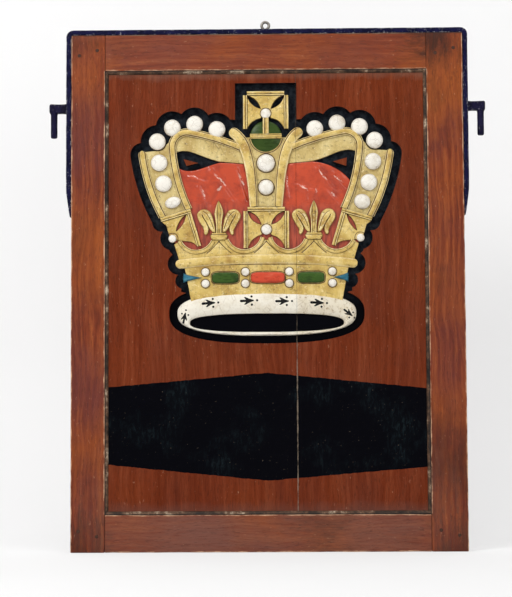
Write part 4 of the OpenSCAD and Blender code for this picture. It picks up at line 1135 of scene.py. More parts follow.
screwParts = []
thick = strap["thick"]
for i, x in enumerate(screws["topX"]):
    screwParts.append(screwHead(20 + 47 * i, lambda u, v, h: (x + u, v, sign["top"] + thick + h)))
for i, z in enumerate(screws["legZ"]):
    screwParts.append(screwHead(70 + 35 * i, lambda u, v, h: (sign["right"] + thick + h, u, z + v)))
    screwParts.append(screwHead(10 + 50 * i, lambda u, v, h: (sign["left"] - thick - h, -u, z + v)))
finishPiece(gathered(screwParts), "strapScrews", "screw_steel", onSign)

eye = {"x": -2.0, "outer": 18.0, "wire": 5.0, "sides": 14, "collar": 3.4}


def eyeMesh():
    x, wire, collar = eye["x"], eye["wire"] / 2, eye["collar"]
    seat = sign["top"] + strap["thick"]
    path = [(x, seat - 3), (x, seat), (x, seat + 1.2)]
    path += arc((x, seat + eye["outer"] / 2), eye["outer"] / 2 - wire, -74, 252, 40)
    sizes = [wire * 1.12] * 2 + [wire] * (len(path) - 3) + [wire * 0.8]
    loop = []
    for (px, pz), (ax, az), size in zip(path, sideways(path, False), sizes):
        ring = [((px - ax * size * c, -size * s, pz - az * size * c), 0.6 if c < 0 else 0.2, 0.0)
                for c, s in circle(eye["sides"])]
        loop.append(ring)
    foot = []
    for up, grow in ((-1, 0.4), (0.5, 0.4), (1.4, 0.0), (1.8, -0.8)):
        r = collar + grow
        foot.append([((x + r * c, r * s, seat + up), 0.3, 0.2) for c, s in circle(20)])
    return gathered([loft(loop), loft(foot)])


finishPiece(eyeMesh(), "screwEye", "eye_steel", onSign)
print("strap, hooks, screws and eye made")


# crown: lines of the arches

arch = {
    "hoopC": (141.0, 149.5), "hoopR": 25.5, "legR": 315.0, "legFrom": -4.0, "legLength": 132.0,
    "limbR": 400.0, "limbFrom": 100.0, "limbLength": 98.0, "barFlatter": 3.0, "barShift": (52.0, 6.0),
    "barFrom": -7.4, "barLength": 128.0, "bandHalf": 7.0, "bandTop": 11.0, "webTop": 5.0,
    "centreR": 263.0, "centreFoot": 23.7, "bulbR": 9.5, "bulbTurn": 37.0,
    "centreLine": ((55.5, 172.5), (28.0, 152.0), (25.0, 92.0), (22.0, 41.1)),
    "centreSizes": (9.5, 10.2, 9.6, 8.4, 7.2), "centrePearls": ((118.8, 15.8), (75.5, 13.4)),
    "crossHalf": 33.0, "crossBar": 7.5, "topCrossZ": 207.0, "topCrossLow": 0.82, "orbDrop": 40.4,
    "orbR": 28.0,
    "halfCross": (36.0, -37.0), "halfTilt": 16.5, "halfOver": 10.0, "halfWaist": 4.0, "halfTop": 42.0,
}
hoopC, hoopR, legR, limbR = arch["hoopC"], arch["hoopR"], arch["legR"], arch["limbR"]
legFrom, limbFrom, barFrom = arch["legFrom"], arch["limbFrom"], arch["barFrom"]
bandHalf, bandTop, onWeb = arch["bandHalf"], arch["bandTop"], arch["webTop"] - 1
legC = polar(hoopC, hoopR - legR, legFrom)
limbC = polar(hoopC, hoopR - limbR, limbFrom)
barC = (legC[0] + arch["barShift"][0], legC[1] + arch["barShift"][1])
barR = legR + arch["barFlatter"]
legEnd = legFrom - turnOf(arch["legLength"], legR)
limbEnd = limbFrom + turnOf(arch["limbLength"], limbR)
barEnd = barFrom - turnOf(arch["barLength"], barR)
legFoot = polar(legC, legR, legEnd)
crossTop = arch["crossHalf"] + arch["crossBar"]
centreC = (arch["centreFoot"] + arch["centreR"], crossTop + crown["fit"])
orbZ = arch["topCrossZ"] - arch["orbDrop"]
halfC = (legFoot[0] + arch["halfCross"][0], legFoot[1] + arch["halfCross"][1])
tilt = math.radians(arch["halfTilt"])
waist = arch["halfWaist"]
halfEdge = [
    (0.0, 0.0), (waist, 7.0), (waist, arch["crossHalf"] - arch["crossBar"]),
    (arch["halfOver"], arch["crossHalf"]),
]


def halfPoint(a, b):
    u = halfC[0] + a * math.cos(tilt) + b * math.sin(tilt)
    return (u, halfC[1] + b * math.cos(tilt) - a * math.sin(tilt))


def cutAtHalfCross(bm, close=True):
    # drops what lies below the half cross's top edge
    point = (*halfPoint(0, arch["halfTop"] + crown["fit"]), 0)
    return cutAway(bm, point, (-math.sin(tilt), -math.cos(tilt), 0), close)


archSection = bothWays([
    (-1, None, 1.0), (-1, 4.6, 0.75), (-0.96, 3.2, -0.6), (-0.86, 2.8, -0.4), (-0.8, 3.3, 1.0),
    (-0.69, 3.4, 1.0),
    (-0.61, 2.0, 0.1), (-0.52, 1.3, -0.7), (-0.42, 0.9, 0.0), (-0.2, 0.2, 0.0), (0, 0, 0.0),
])
hoopPath = arc(legC, legR, legEnd, legFrom - 1, 24) + arc(hoopC, hoopR, legFrom, limbFrom, 26)
hoopPath += arc(limbC, limbR, limbFrom + 1, limbEnd, 16)
barPath = leadIn(polar(barC, barR, barFrom), barFrom + 90, bandHalf) + arc(barC, barR, barFrom, barEnd, 24)
centreLine = curve(*arch["centreLine"], 40)
centreLead = leadIn(centreLine[0], arch["bulbTurn"], arch["bulbR"])
# full round bar with one fine groove beside its inner edge
centreSection = [
    (-1, None, 1.0), (-1, 4.6, 0.8), (-0.97, 3.0, 0.0), (-0.88, 2.0, -0.7), (-0.62, 0.9, -0.1),
    (-0.3, 0.2, 0.0),
    (0, 0, 0.0), (0.35, 0.4, 0.0), (0.56, 1.0, -0.2), (0.66, 1.6, -0.6), (0.72, 2.9, 1.0), (0.81, 2.9, 1.0),
    (0.86, 2.6, 0.1), (0.94, 2.6, -0.7), (1, 4.2, 0.7), (1, None, 1.0),
]
# where the hoop's top limb runs into the centre bar
onLimb = arc(limbC, limbR, limbFrom, limbEnd, 120)
meet, touch = min(
    ((p, q) for p in onLimb for q in centreLine[4:20]),
    key=lambda pair: abs(math.dist(*pair) - 9.0) + 0.05 * abs(pair[0][1] - pair[1][1]),
)
toCentre = (Vector(touch) - Vector(meet)).normalized()


def hoopMesh():
    bm = bandAlong(hoopPath, [bandHalf] * len(hoopPath), archSection, 0, bandTop)
    return cutAway(cutAtHalfCross(bm), (*meet, 0), (*toCentre, 0))


def sideBarMesh():
    return cutAtHalfCross(bandAlong(barPath, roundEnd(bandHalf, barPath), archSection, 0, bandTop))


def centreBarMesh():
    path = centreLead + centreLine
    bulb = arch["bulbR"]
    sizes = np.interp(np.linspace(0, 1, len(centreLine)), np.linspace(0, 1, 5), arch["centreSizes"])
    sizes = [c / bulb * s for c, s in zip(roundEnd(bulb, path), [bulb] * len(centreLead) + list(sizes))]
    return bandAlong(path, sizes, centreSection, 0, bandTop)


carved(rightOfSeam(hoopMesh()), "rightHoop")
carved(mirroredMesh(hoopMesh()), "leftHoop")
carved(sideBarMesh(), "rightSideBar")
carved(mirroredMesh(sideBarMesh()), "leftSideBar")
carved(mirroredMesh(centreBarMesh()), "centreBarLeft")
# with the hoop's last bit before the joint
rightBar = gathered([leftOfSeam(centreBarMesh()), leftOfSeam(hoopMesh())])
carved(rightBar, "centreBarRight")
carved(rightOfSeam(centreBarMesh()), "centreBarEnd")
print("arch bands made")


# crown: flat webs between the bands

web = {
    "hornTurn": 2.6, "hornOut": 26.0, "hornUp": 12.5, "hornHollow": 16.6, "hornFrom": (196, 282),
    "lower": ((166, 136), (140, 152), (118, 130), (82, 122)), "onCentre": 17.0, "dish": 0.5, "topAt": 4,
    "orbGroove": 1.4,
}
webTop = uneven(arch["webTop"], web["dish"], 0.05, 2.0)


def hoopWebMesh():
    outline = arc(hoopC, hoopR, legFrom + 8, limbFrom, 12) + arc(limbC, limbR, limbFrom + 1, limbEnd, 8)
    outline += [polar(centreC, arch["centreR"], 180 - web["onCentre"])] + curve(*web["lower"], 24)[::-1]
    return reliefSheet([outline], webTop, step=3.5, edge=1.4, drop=1.0)


def archWebMesh():
    outline = arc(barC, barR, barFrom + 1, barEnd, 20)
    outline += arc(legC, legR, legEnd, legFrom + web["hornTurn"], 22)
    hornR = legR + web["hornOut"]
    horn = polar(legC, hornR, legFrom + turnOf(web["hornUp"], hornR))  # hollow round the pearl above the web
    outline += arc(horn, web["hornHollow"], *web["hornFrom"], 10)
    return cutAtHalfCross(reliefSheet([outline], webTop, step=4.0, edge=1.0, drop=0.6), False)


def centreWebMesh():
    half = centreLine[web["topAt"]:] + [(0, crossTop + crown["fit"])]
    lines = [(ringAt((0, v), r + 1.2), True, 1.3, 0.5) for v, r in arch["centrePearls"]]
    lines.append((arc((0, orbZ), arch["orbR"] + web["orbGroove"], 190, 350, 30), False, 1.4, 0.5))
    return reliefSheet([half + flipped(half)], webTop, step=3.5, edge=1.0, drop=0.6, lines=lines)


carved(skirted(rightOfSeam(hoopWebMesh(), False)), "rightHoopWeb", "gilt_web")
carved(skirted(mirroredMesh(hoopWebMesh())), "leftHoopWeb", "gilt_web")
carved(skirted(archWebMesh()), "rightArchWeb", "gilt_web")
carved(skirted(mirroredMesh(archWebMesh())), "leftArchWeb", "gilt_web")
centreWeb = gathered([skirted(centreWebMesh()), skirted(leftOfSeam(hoopWebMesh(), False))])
carved(centreWeb, "centreWeb", "gilt_web")
print("webs made")


# crown: red cap with its folds

cap = {
    "flat": 4.0, "lowest": 2.2, "swell": 10.0, "swellR": 255.0, "swellC": (92.0, 104.0),
    "edgeLeft": ((156, 112), (134, 98), (112, 112), (82, 120)),
    "edgeRight": ((152, 84), (136, 106), (112, 118), (82, 121)),
    "onLeg": (4.0, 14.0), "onCentre": (17.0, 8.0), "footIn": 4.0, "step": 2.6,
    # creases as start u, v, end u, v, half width, depth
    "folds": (
        (-92, 106, -59, 58, 6, 2.4), (-116, 76, -104, 46, 5, 2.0), (-134, 98, -108, 88, 4, 1.8),
        (-48, 106, -34, 56, 5, 2.0), (-78, 84, -92, 58, 7, 1.4), (95, 110, 120, 74, 5, 2.4),
        (121, 99, 142, 76, 4, 2.0),
        (56, 82, 84, 72, 5, 1.6), (72, 74, 74, 58, 4, 1.6), (90, 74, 88, 58, 4, 1.4),
        (36, 98, 42, 60, 4, 1.3),
        (110, 70, 128, 52, 6, 1.6),
    ),
}
rib = {"drop": 52.0, "r": 1427.0, "half": 152.0, "wide": 17.0, "top": 11.0}
ribC = (0.0, -rib["drop"] - rib["r"])
ribTurn = math.degrees(math.asin(rib["half"] / rib["r"]))
ribEnd = polar(ribC, rib["r"], 90 - ribTurn)


def capHalf(top):
    line = [(0, -rib["drop"]), (ribEnd[0] - cap["footIn"], ribEnd[1])]
    line += [halfPoint(a - 0.6, b) for a, b in halfEdge]
    line += arc(legC, legR, legEnd + cap["onLeg"][0], legFrom - cap["onLeg"][1], 6) + curve(*top, 20)
    line += [polar(centreC, arch["centreR"], 180 - a) for a in cap["onCentre"]]
    return line + [(arch["centreFoot"], crossTop), (0, crossTop)]


def bell(x, wide):
    return math.exp(-(x / wide) ** 2)


def foldsAt(u, v):
    # height and shine of the creases at a point
    lift, shine = 0.0, 0.0
    for u0, v0, u1, v1, half, depth in cap["folds"]:
        du, dv = u1 - u0, v1 - v0
        length = math.hypot(du, dv)
        t = ((u - u0) * du + (v - v0) * dv) / (length * length)
        off = ((u - u0) * dv - (v - v0) * du) / length
        fade = bell(max(0.0, -t, t - 1) * length, half)
        ridge = 0.75 * bell(off - 0.8 * half, half) - bell(off + 0.35 * half, 0.6 * half)
        lift += 1.3 * depth * fade * ridge
        bend = 0.5 * half * math.sin(4 * t + u0)  # glints wander and fade out along the crease
        shine = max(shine, fade * bell(off - 0.3 * half - bend, 0.34 * half) * bell(t - 0.35, 0.3))
    return lift, shine


def capTop(u, v):
    flat = cap["flat"]
    swell = cap["swell"] - math.dist((abs(u), v), cap["swellC"]) ** 2 / (2 * cap["swellR"])
    h = flat if swell < flat - 1 else flat + math.log1p(math.exp((swell - flat) * 1.5)) / 1.5 - 0.2
    ease = min(1.0, max(0.0, (v - 30) / 25))
    h += ease * 0.9 * ripple(u, v, 0.045, 5.0) + 0.35 * ripple(u, v, 0.11, 1.0)
    return max(h + foldsAt(u, v)[0], cap["lowest"])


def capMesh(part):
    outline = spaced(capHalf(cap["edgeRight"])[:-1] + flipped(capHalf(cap["edgeLeft"]))[1:])
    sheet = reliefSheet([outline], capTop, step=cap["step"], edge=2.2, drop=1.6, rim=0.7)
    for vert in sheet.verts:
        # painted highlight: how much each point glints on a fold crest
        vert[wearAndGlintOf(sheet)] = foldsAt(vert.co.x, vert.co.y)[1]
    return skirted(part(sheet, False))


halves(capMesh, "cap", "cap_red", amount=0.0, sharp=60)
print("cap made")


# crown: orb, its band, and the crosses

orb = {"edge": 5.0, "top": 10.0, "bandHalf": 4.5, "bandTop": 11.0, "bed": 3.0}
orbCut = {"amount": 0.25, "grain": 0.05}
orbSection = bothWays([
    (-1, None, 0.9), (-1, 0.9, 0.6), (-0.85, 0.1, 0.1), (-0.6, 0.0, 0.2), (-0.45, 0.6, 0.95),
    (-0.3, 0.1, 0.2), (0, 0, 0),
])
flatSection = [
    (-1, None, 1.0), (-1, 1.1, 1.0), (-0.84, 0.1, -0.6), (-0.6, 0.0, -0.3), (-0.42, 0.2, 0.5),
    (-0.3, 0.75, 1.0),
    (-0.18, 0.2, 0.5), (0.4, 0.0, 0.0), (0.84, 0.1, -0.6), (1, 1.1, 1.0), (1, None, 1.0),
]


def orbTop(u, v):
    d = math.dist((u, v), (0, orbZ)) / arch["orbR"]
    return orb["top"] - (orb["top"] - orb["edge"]) * d * d


orbBall = reliefSheet([ringAt((0.0, orbZ), arch["orbR"], 45)], orbTop, step=2.6, edge=1.4, drop=1.2)
carved(skirted(orbBall), "orbBall", "orb_green", **orbCut, replaced=["orb"])
ends = ((-arch["orbR"], orbZ), (arch["orbR"], orbZ))
carved(straight(*ends, orb["bandHalf"], orbSection, orb["bed"], orb["bandTop"]), "orbBand", **orbCut)

cross = {
    "lensLength": 32.0, "lensHalf": 4.6, "plate": 8.0, "bars": 10.0, "postHalf": 5.5, "pearlR": 9.0,
    # half crosses, from the pearl: side bar, its ends, under edge and slanted opening
    "side": -38.0, "sideEnds": (-26.0, 34.0), "under": ((-38, -25), (-34, -15), (-24, -12), (-13, -8)),
    "slant": ((-22.5, 22.4), 137.0, 33.0, 3.2),
}
lensMid = arch["crossHalf"] * math.sqrt(2) - cross["lensLength"] / 2 - 1


def lensSide(way, middle=lensMid, length=cross["lensLength"], rise=cross["lensHalf"], steps=10):
    # one side of a pointed opening along X, from the near to the far point
    half = length / 2
    r = (half * half + rise * rise) / (2 * rise)
    turn = math.degrees(math.asin(half / r))
    return [(middle + p[0], way * p[1]) for p in arc((0, rise - r), r, 90 + turn, 90 - turn, steps)]


def lens(*shape):
    return lensSide(1, *shape) + lensSide(-1, *shape)[-2:0:-1]


def crossPlate(half):
    s = arch["crossHalf"]
    if half:
        top = arch["halfTop"] - arch["crossBar"]
        outline = halfEdge[:-1] + [(arch["halfOver"], top), (cross["side"], top)]
        outline += curve(*cross["under"], 8) + [(-5, -5)]
        middle, turn, length, rise = cross["slant"]
        holes = [[(middle[0] + u, middle[1] + v) for u, v in turned(lens(0, length, rise), turn)]]
    else:
        bite = turned(lensSide(1), -45)  # right arm's lower side
        outline = [(0, 0)] + bite + [(s, -s), (s, s), (-s, s), (-s, -s)] + flipped(bite)
        holes = [turned(lens(), turn) for turn in (45, 135)]
    lines = [(ringAt((0, 0), cross["pearlR"] + 1.0), True, 1.2, 0.5)]
    lines += [(hole, True, 1.5, 0.3) for hole in holes]
    top = uneven(cross["plate"], 0.3, 0.08, 4.0)
    return reliefSheet([outline] + holes, top, step=2.8, edge=1.6, drop=1.2, lines=lines)


def crossMesh(seat, half=False):
    # plate with bars across the arms' ends, the corners left open
    s, wide = arch["crossHalf"], arch["crossBar"] / 2
    ends = [turned([(s + wide, -s), (s + wide, s)], turn) for turn in (0, 90, 180)]
    if half:
        top, side = arch["halfTop"] - wide, cross["side"]
        low, high = cross["sideEnds"]
        ends = [((arch["halfOver"], top), (side, top)), ((side - 0.7, top), (side - 2 * wide, top))]
        ends.append(((side - wide, high), (side - wide, low)))
    bars = [straight(start, end, wide, flatSection, seat, cross["bars"]) for start, end in ends]
    return gathered([skirted(crossPlate(half), seat)] + bars)


def halfCrossMesh():
    return moved(crossMesh(crown["seat"], True), halfPoint)


ends = ((0, orb["bandHalf"] + 0.3 - arch["orbDrop"]), (0, 1.5 - cross["pearlR"]))
post = straight(*ends, cross["postHalf"], flatSection, orb["bed"], orb["bandTop"])
# shorter below its pearl
topCross = moved(crossMesh(0), lambda u, v: (u, v * arch["topCrossLow"] if v < 0 else v))
carved(moved(gathered([topCross, post]), lambda u, v: (u, v + arch["topCrossZ"])), "topCross")
carved(crossMesh(crown["seat"]), "centreCross")
carved(halfCrossMesh(), "rightHalfCross")
carved(mirroredMesh(halfCrossMesh()), "leftHalfCross")
print("orb and crosses made")


# crown: fleurs and swags

fleur = {
    "x": 84.0, "top": 51.5, "height": 9.0, "foot": -6.0, "tipHalf": 8.25,
    # outline of the right petal as curves, the fold between its two limbs and a vein
    "petal": (
        ((6, -5), (7, 10), (9, 20), (11.8, 25.3)), ((11.8, 25.3), (15.5, 38.5), (32, 42), (38.3, 29)),
        ((38.3, 29), (41, 20), (31, 11), (26.3, 0)), ((26.3, 0), (26, -3), (28, -7), (23.6, -9.3)),
        ((23.6, -9.3), (19, -7), (17.5, -2), (18.5, 6)), ((18.5, 6), (16.5, 2), (14, -2), (10, -5)),
    ),
    "fold": ((18.7, 6), (22, 14), (27, 20), (29.5, 26)), "vein": ((9.5, 2), (13, 16), (19, 29), (27, 32)),
    "tipAt": (0, 0.25, 0.45, 0.6, 0.75, 0.9, 1), "tipShares": (0.6, 0.6, 0.75, 1, 0.8, 0.4, 0.05),
    "collarHalf": 16.0, "collarTop": -5.0, "collarMid": -10.0, "neck": 0.78, "collarHeight": 8.0,
}
fleurCut = {"amount": 0.5, "grain": 0.06}
petalSection = bothWays([
    (-1, None, 1.0), (-1, 1.3, 0.7), (-0.88, 0.2, -0.4), (-0.7, 0.0, -0.4), (-0.52, 0.5, 0.2),
    (-0.42, 1.0, 0.62),
    (-0.2, 1.3, 0.3), (0, 1.3, 0.15),
])
swag = {
    "inX": 39.0, "inR": 33.0, "outX": 124.0, "outR": 32.0, "low": 38.0, "half": 4.0, "out": 0.8,
    "top": 9.2, "field": 6.0,
    "bite": 1.5, "inEnds": (-165, -21), "outEnds": (-155, -24),
    "peak": ((-20.6, -40.5), (-12, -33), (-5, -26), (0, -20.5), (5, -26), (12, -33), (20.6, -40.5)),
}
swagIn = (swag["inX"], swag["inR"] - swag["low"])
swagOut = (swag["outX"], swag["outR"] - swag["low"])
fieldTop = polar(swagIn, swag["inR"], swag["inEnds"][1])[1] - 1.0


def petalMesh():
    outline = [p for c in fleur["petal"] for p in curve(*c, 9)[:-1]]
    lines = [(curve(*fleur["fold"], 12), False, 1.5, 1.8), (curve(*fleur["vein"], 12), False, 1.1, 0.7)]
    top = uneven(fleur["height"], 0.5, 0.09, 7.0)
    bm = reliefSheet([outline], top, step=2.2, edge=2.4, drop=2.0, lines=lines, rim=0.5)
    for vert in bm.verts:
        if 0.0 < vert[carveOf(bm)] < 0.3:
            vert[carveOf(bm)] = -0.5  # painted highlight along the edge
    return bm


def fleurMesh(part=lambda bm, close=True: bm):
    spots = np.linspace(1, 0, 29)
    spear = [(0.0, fleur["foot"] + t * (fleur["top"] - fleur["foot"])) for t in spots]
    sizes = np.interp(spots, fleur["tipAt"], fleur["tipShares"]) * fleur["tipHalf"]
    tip = bandAlong(spear, sizes, petalSection, crown["seat"], fleur["height"] + 0.5)
    c, top, middle = fleur["collarHalf"], fleur["collarTop"], fleur["collarMid"]
    n = c * fleur["neck"]
    collar = [(-n, top), (-c, middle), (-n, fieldTop), (n, fieldTop), (c, middle), (n, top)]
    lines = [([(-c + 1.5, middle + 1.2), (c - 1.5, middle + 1.2)], False, 1.0, 0.5)]

    def knotTop(u, v):
        return fleur["collarHeight"] + 1.6 - 2.6 * (u / c) ** 2

    knot = reliefSheet([collar], knotTop, step=2.2, edge=2.0, drop=1.6, lines=lines)
    sheets = [petalMesh(), mirroredMesh(petalMesh()), knot]
    for bm in sheets + [tip]:
        moved(bm, lambda u, v: (u + fleur["x"], v))
    return gathered([part(tip)] + [skirted(part(sheet, False), crown["seat"]) for sheet in sheets])


carved(fleurMesh(rightOfSeam), "rightFleur", **fleurCut, seed=2.0)
carved(fleurMesh(leftOfSeam), "rightFleurEnd", **fleurCut, seed=2.0)
carved(mirroredMesh(fleurMesh()), "leftFleur", **fleurCut)

swagSection = [
    (-1, None, 0.9), (-1, 2.2, 0.5), (-0.9, 0.6, -0.7), (-0.72, 0.0, -0.6), (-0.54, 0.5, 0.5),
    (-0.44, 0.9, 0.6),
    (-0.32, 0.6, 0.1), (0.1, 0.4, 0.0), (0.5, 0.7, -0.2), (0.8, 1.3, 0.1), (1, 2.8, 0.9), (1, None, 1.0),
]


def fieldOutline():
    half = [(0, fieldTop)]
    for c, r in ((swagIn, swag["inR"] - swag["bite"]), (swagOut, swag["outR"] - swag["bite"])):
        lean = math.degrees(math.asin((c[1] - fieldTop) / r))
        half += arc(c, r, 180 + lean, 360 - lean, 22)
    half += [halfPoint(0, -arch["halfOver"]), (ribEnd[0] + 1, ribEnd[1])]
    return spaced(half + [(0, -rib["drop"])] + flipped(half)[:-1])


def swagMesh(part):
    beads = []
    for c, r, ends in ((swagIn, swag["inR"], swag["inEnds"]), (swagOut, swag["outR"], swag["outEnds"])):
        path = arc(c, r + swag["out"], *ends, 34)
        shape = (path, [swag["half"]] * len(path), swagSection, crown["seat"], swag["top"])
        beads += [bandAlong(*shape), mirroredMesh(bandAlong(*shape))]
    peaks = [([(x + u, v) for u, v in swag["peak"]], False, 1.2, 0.9) for x in (-fleur["x"], 0.0, fleur["x"])]
    top = uneven(swag["field"], 0.3, 0.07, 8.0)
    field = reliefSheet([fieldOutline()], top, step=2.8, edge=1.0, drop=0.6, lines=peaks)
    return gathered([skirted(part(field, False), crown["seat"]), part(gathered(beads))])


halves(swagMesh, "swagRim")
print("fleurs and swags made")


# crown: rib, circlet and ermine

ribSection = bothWays([
    (-1, None, 1.0), (-1, 5.0, 0.85), (-0.97, 3.7, 0.2), (-0.91, 2.6, -0.5), (-0.78, 1.6, -0.3),
    (-0.6, 0.9, 0.0),
    (-0.42, 0.5, 0.0), (-0.22, 0.15, 0.0), (0, 0, 0.0),
])


def ribMesh(part):
    half = rib["wide"] / 2
    lead = leadIn(ribEnd, -ribTurn, half)
    path = lead + arc(ribC, rib["r"], 90 - ribTurn, 90 + ribTurn, 70) + flipped(lead)
    sizes = [min(a, b) for a, b in zip(roundEnd(half, path), roundEnd(half, path[::-1])[::-1])]
    return part(bandAlong(path, sizes, ribSection, 0, rib["top"]))


halves(ribMesh, "rib")

fur = {
    "c": (0.0, -148.5), "a": 158.0, "b": 39.0, "mouthA": 136.0, "mouthB": 16.5, "mouthDrop": 16.0,
    "full": 2.6,
    "height": 10.0, "edge": 5.0, "shoulder": 1.5, "points": 150,
    # tails as middle u, v, turn and size
    "tails": (
        (-145.5, -156, 78, 0.76), (-103, -130, 4, 0.92), (-35, -126, 2, 0.94), (27, -127, 0, 0.92),
        (88.5, -130, -3, 0.92), (143, -148, -38, 0.76),
    ),
    # half of a tail's outline, and its dots
    "tail": ((-13, 1.4), (-11, 2.5), (-1.5, 2.2), (-5.5, 6.8), (-2.4, 7.2), (5, 3.5), (13, 1.0)),
    "dots": ((9.0, 7.6), (19.0, 0.0), (9.0, -7.6)), "dotR": 2.2,
}
circlet = {
    "top": 147.0, "foot": 133.0, "height": 7.0, "jewelZ": -85.0, "stoneHalf": 10.0, "rise": 4.2,
    "blueRise": 4.4,
    "greenX": (-73.0, 78.5), "greenHalf": 24.0, "redX": 2.0, "redHalf": 30.3,
    "pairs": (-108.0, -37.5, 40.0, 116.0), "pairUp": 10.3, "pearlR": 7.0,
    # end stones as outer end, length and half height
    "blue": {-1: (147.0, 33.0, 8.6), 1: (144.0, 27.0, 8.0)},
}
pairSpots = [
    (x, circlet["jewelZ"] + up * circlet["pairUp"], x + up) for x in circlet["pairs"] for up in (-1, 1)
]


def stoneOutline(x, half, grow=0.0):
    # oblong with rounded corners
    return roundedBar((x, circlet["jewelZ"]), half + grow, circlet["stoneHalf"] + grow, 4.2, 44)


def blueOutline(way):
    start, length, half = circlet["blue"][way]
    near, slim = start - 8, half * 0.62
    shape = [(start, -half), (start + 1.2, 0), (start, half), (near, slim)]
    shape += [(start - length, 0.0), (near, -slim)]
    return [(way * u, circlet["jewelZ"] + v) for u, v in (shape if way > 0 else shape[::-1])]


def circletMesh(part):
    top, foot, drop = circlet["top"], circlet["foot"], -rib["drop"]
    low = fur["c"][1] + fur["b"] / 2
    outline = [(-top, drop - 4), (top, drop - 4), (foot, low), (-foot, low)]
    stones = [(circlet["redX"], circlet["redHalf"])] + [(x, circlet["greenHalf"]) for x in circlet["greenX"]]
    lines = [(stoneOutline(x, half, 1.2), True, 1.3, 0.6) for x, half in stones]
    lines += [(ringAt((u, v), circlet["pearlR"] + 0.9), True, 1.0, 0.5) for u, v, seed in pairSpots]
    lines.append(([(-top + 4, drop - 10.5), (0, drop - 9.6), (top - 4, drop - 10.5)], False, 1.0, 0.4))
    height = uneven(circlet["height"], 0.4, 0.06, 6.0)
    return skirted(part(reliefSheet([outline], height, step=3.4, edge=1.2, drop=0.8, lines=lines), False))


furOuter = roundedBar(fur["c"], fur["a"], fur["b"], fur["full"], fur["points"])
mouthC = (0.0, fur["c"][1] - fur["mouthDrop"])
furInner = roundedBar(mouthC, fur["mouthA"], fur["mouthB"], fur["full"], fur["points"])


def tailMarks():
    # a shaft, a swept head and three dots each
    arrow = [*fur["tail"], *[(a, -b) for a, b in reversed(fur["tail"])]]
    shapes = []
    for u, v, turn, size in fur["tails"]:
        shapes.append([(u + a, v + b) for a, b in turned([(a * size, b * size) for a, b in arrow], turn)])
        for a, b in turned([(a * size, b * size) for a, b in fur["dots"]], turn):
            shapes.append(ringAt((u + a, v + b), fur["dotR"] * size, 10))
    return shapes


def furTop(u, v):
    a, b = awayFrom([(u, v)], pairs(furOuter, True))[0], awayFrom([(u, v)], pairs(furInner, True))[0]
    shoulder = fur["height"] - fur["shoulder"]
    heights = (fur["edge"], shoulder, fur["height"], shoulder, fur["edge"])
    return np.interp(a / max(a + b, 1e-6), (0, 0.2, 0.5, 0.8, 1), heights) + 0.35 * ripple(u, v, 0.05, 3.0)


def ermineMesh(part):
    loops = [furOuter, furInner]
    sheet = reliefSheet(loops, furTop, step=3.0, edge=1.2, drop=0.8, patches=tailMarks(), rim=0.35)
    return skirted(part(sheet, False), 0.0, 0.6)


halves(circletMesh, "circlet")
furPaints = [finish["ermine_white"], tailBlack]
halves(ermineMesh, "ermine", "ermine_white", amount=0.3, grain=0.05, sharp=60, paints=furPaints)
print("rib, circlet and ermine made")


# crown: pearls and jewels

# rings are share of radius, share of rise or None for the seat, and how much darker
pearls = {
    "r": 15.0, "rise": 5.5, "out": 16.5, "rowOut": 26.0, "rowUp": 12.5, "rowStep": 38.0, "cornerTurn": 53.0,
    "limbAt": (7.3, 48.0), "crossR": 9.0, "smallR": 7.0, "smallRise": 3.2, "face": 12.0, "segments": 32,
    "rings": (
        (1.0, None, 1.0), (1.0, 0.0, 0.9), (0.97, 0.3, 0.45), (0.91, 0.52, 0.2), (0.87, 0.5, 0.62),
        (0.82, 0.66, 0.15),
        (0.65, 0.85, 0.0), (0.4, 0.95, 0.0), (0.18, 0.99, 0.0),
    ),
    # lowest pearl of each arch: middle, radius, squash and lean
    "lowest": {-1: ((-165.6, 49.6), 14.4, 0.7, 18.0), 1: ((170.0, 49.0), 14.4, 0.95, -18.0)},
}


def pearl(c, r, seat, rise, seed, squash=1.0, lean=0.0):
    # turned dome with a shallow ring near its edge
    stations = []
    for share, up, dirt in pearls["rings"]:
        h = seat if up is None else pearls["face"] - rise + up * rise
        ring = []
        for x, y in circle(pearls["segments"]):
            way = Vector((x, y, seed))
            size = r * share * (1 + 0.022 * noise.noise(way * 1.4))
            u, v = turned([(size * x, size * squash * y)], lean)[0]
            bump = 0.3 * noise.noise(way * 1.1 + Vector((share * 2, 0, 0))) if share < 0.95 else 0.0
            ring.append(((c[0] + u, c[1] + v, h + bump), 0.0, dirt))
        stations.append(ring)
    bm = loft(stations, False, False)
    top = bm.verts[:][-pearls["segments"]:]
    tip = bm.verts.new((*c, pearls["face"]))
    for a, b in pairs(top, True):
        bm.faces.new((a, b, tip))
    return bm


def pearlGroup(name, parts):
    finishPiece(gathered(parts), name, "pearl_white", sharp=50)


rise, smallRise = pearls["rise"], pearls["smallRise"]
rowR, limbOut = legR + pearls["rowOut"], limbR + pearls["out"]
onGround = [polar(hoopC, hoopR + pearls["out"], pearls["cornerTurn"])]
onGround += [polar(limbC, limbOut, limbFrom + turnOf(along, limbOut)) for along in pearls["limbAt"]]
row = [polar(legC, rowR, legFrom + turnOf(pearls["rowUp"] - i * pearls["rowStep"], rowR)) for i in range(3)]
for side, name in ((1, "rightArchPearls"), (-1, "leftArchPearls")):
    parts = [pearl((side * u, v), pearls["r"], 0, rise, side * u) for u, v in onGround + row[:1]]
    parts += [pearl((side * u, v), pearls["r"], onWeb, rise, side * v) for u, v in row[1:]]
    middle, r, squash, lean = pearls["lowest"][side]
    parts.append(pearl(middle, r, onWeb, rise, side * 9.0, squash, lean))
    pearlGroup(name, parts)
parts = [pearl((0, v), r, onWeb, rise, v) for v, r in arch["centrePearls"]]
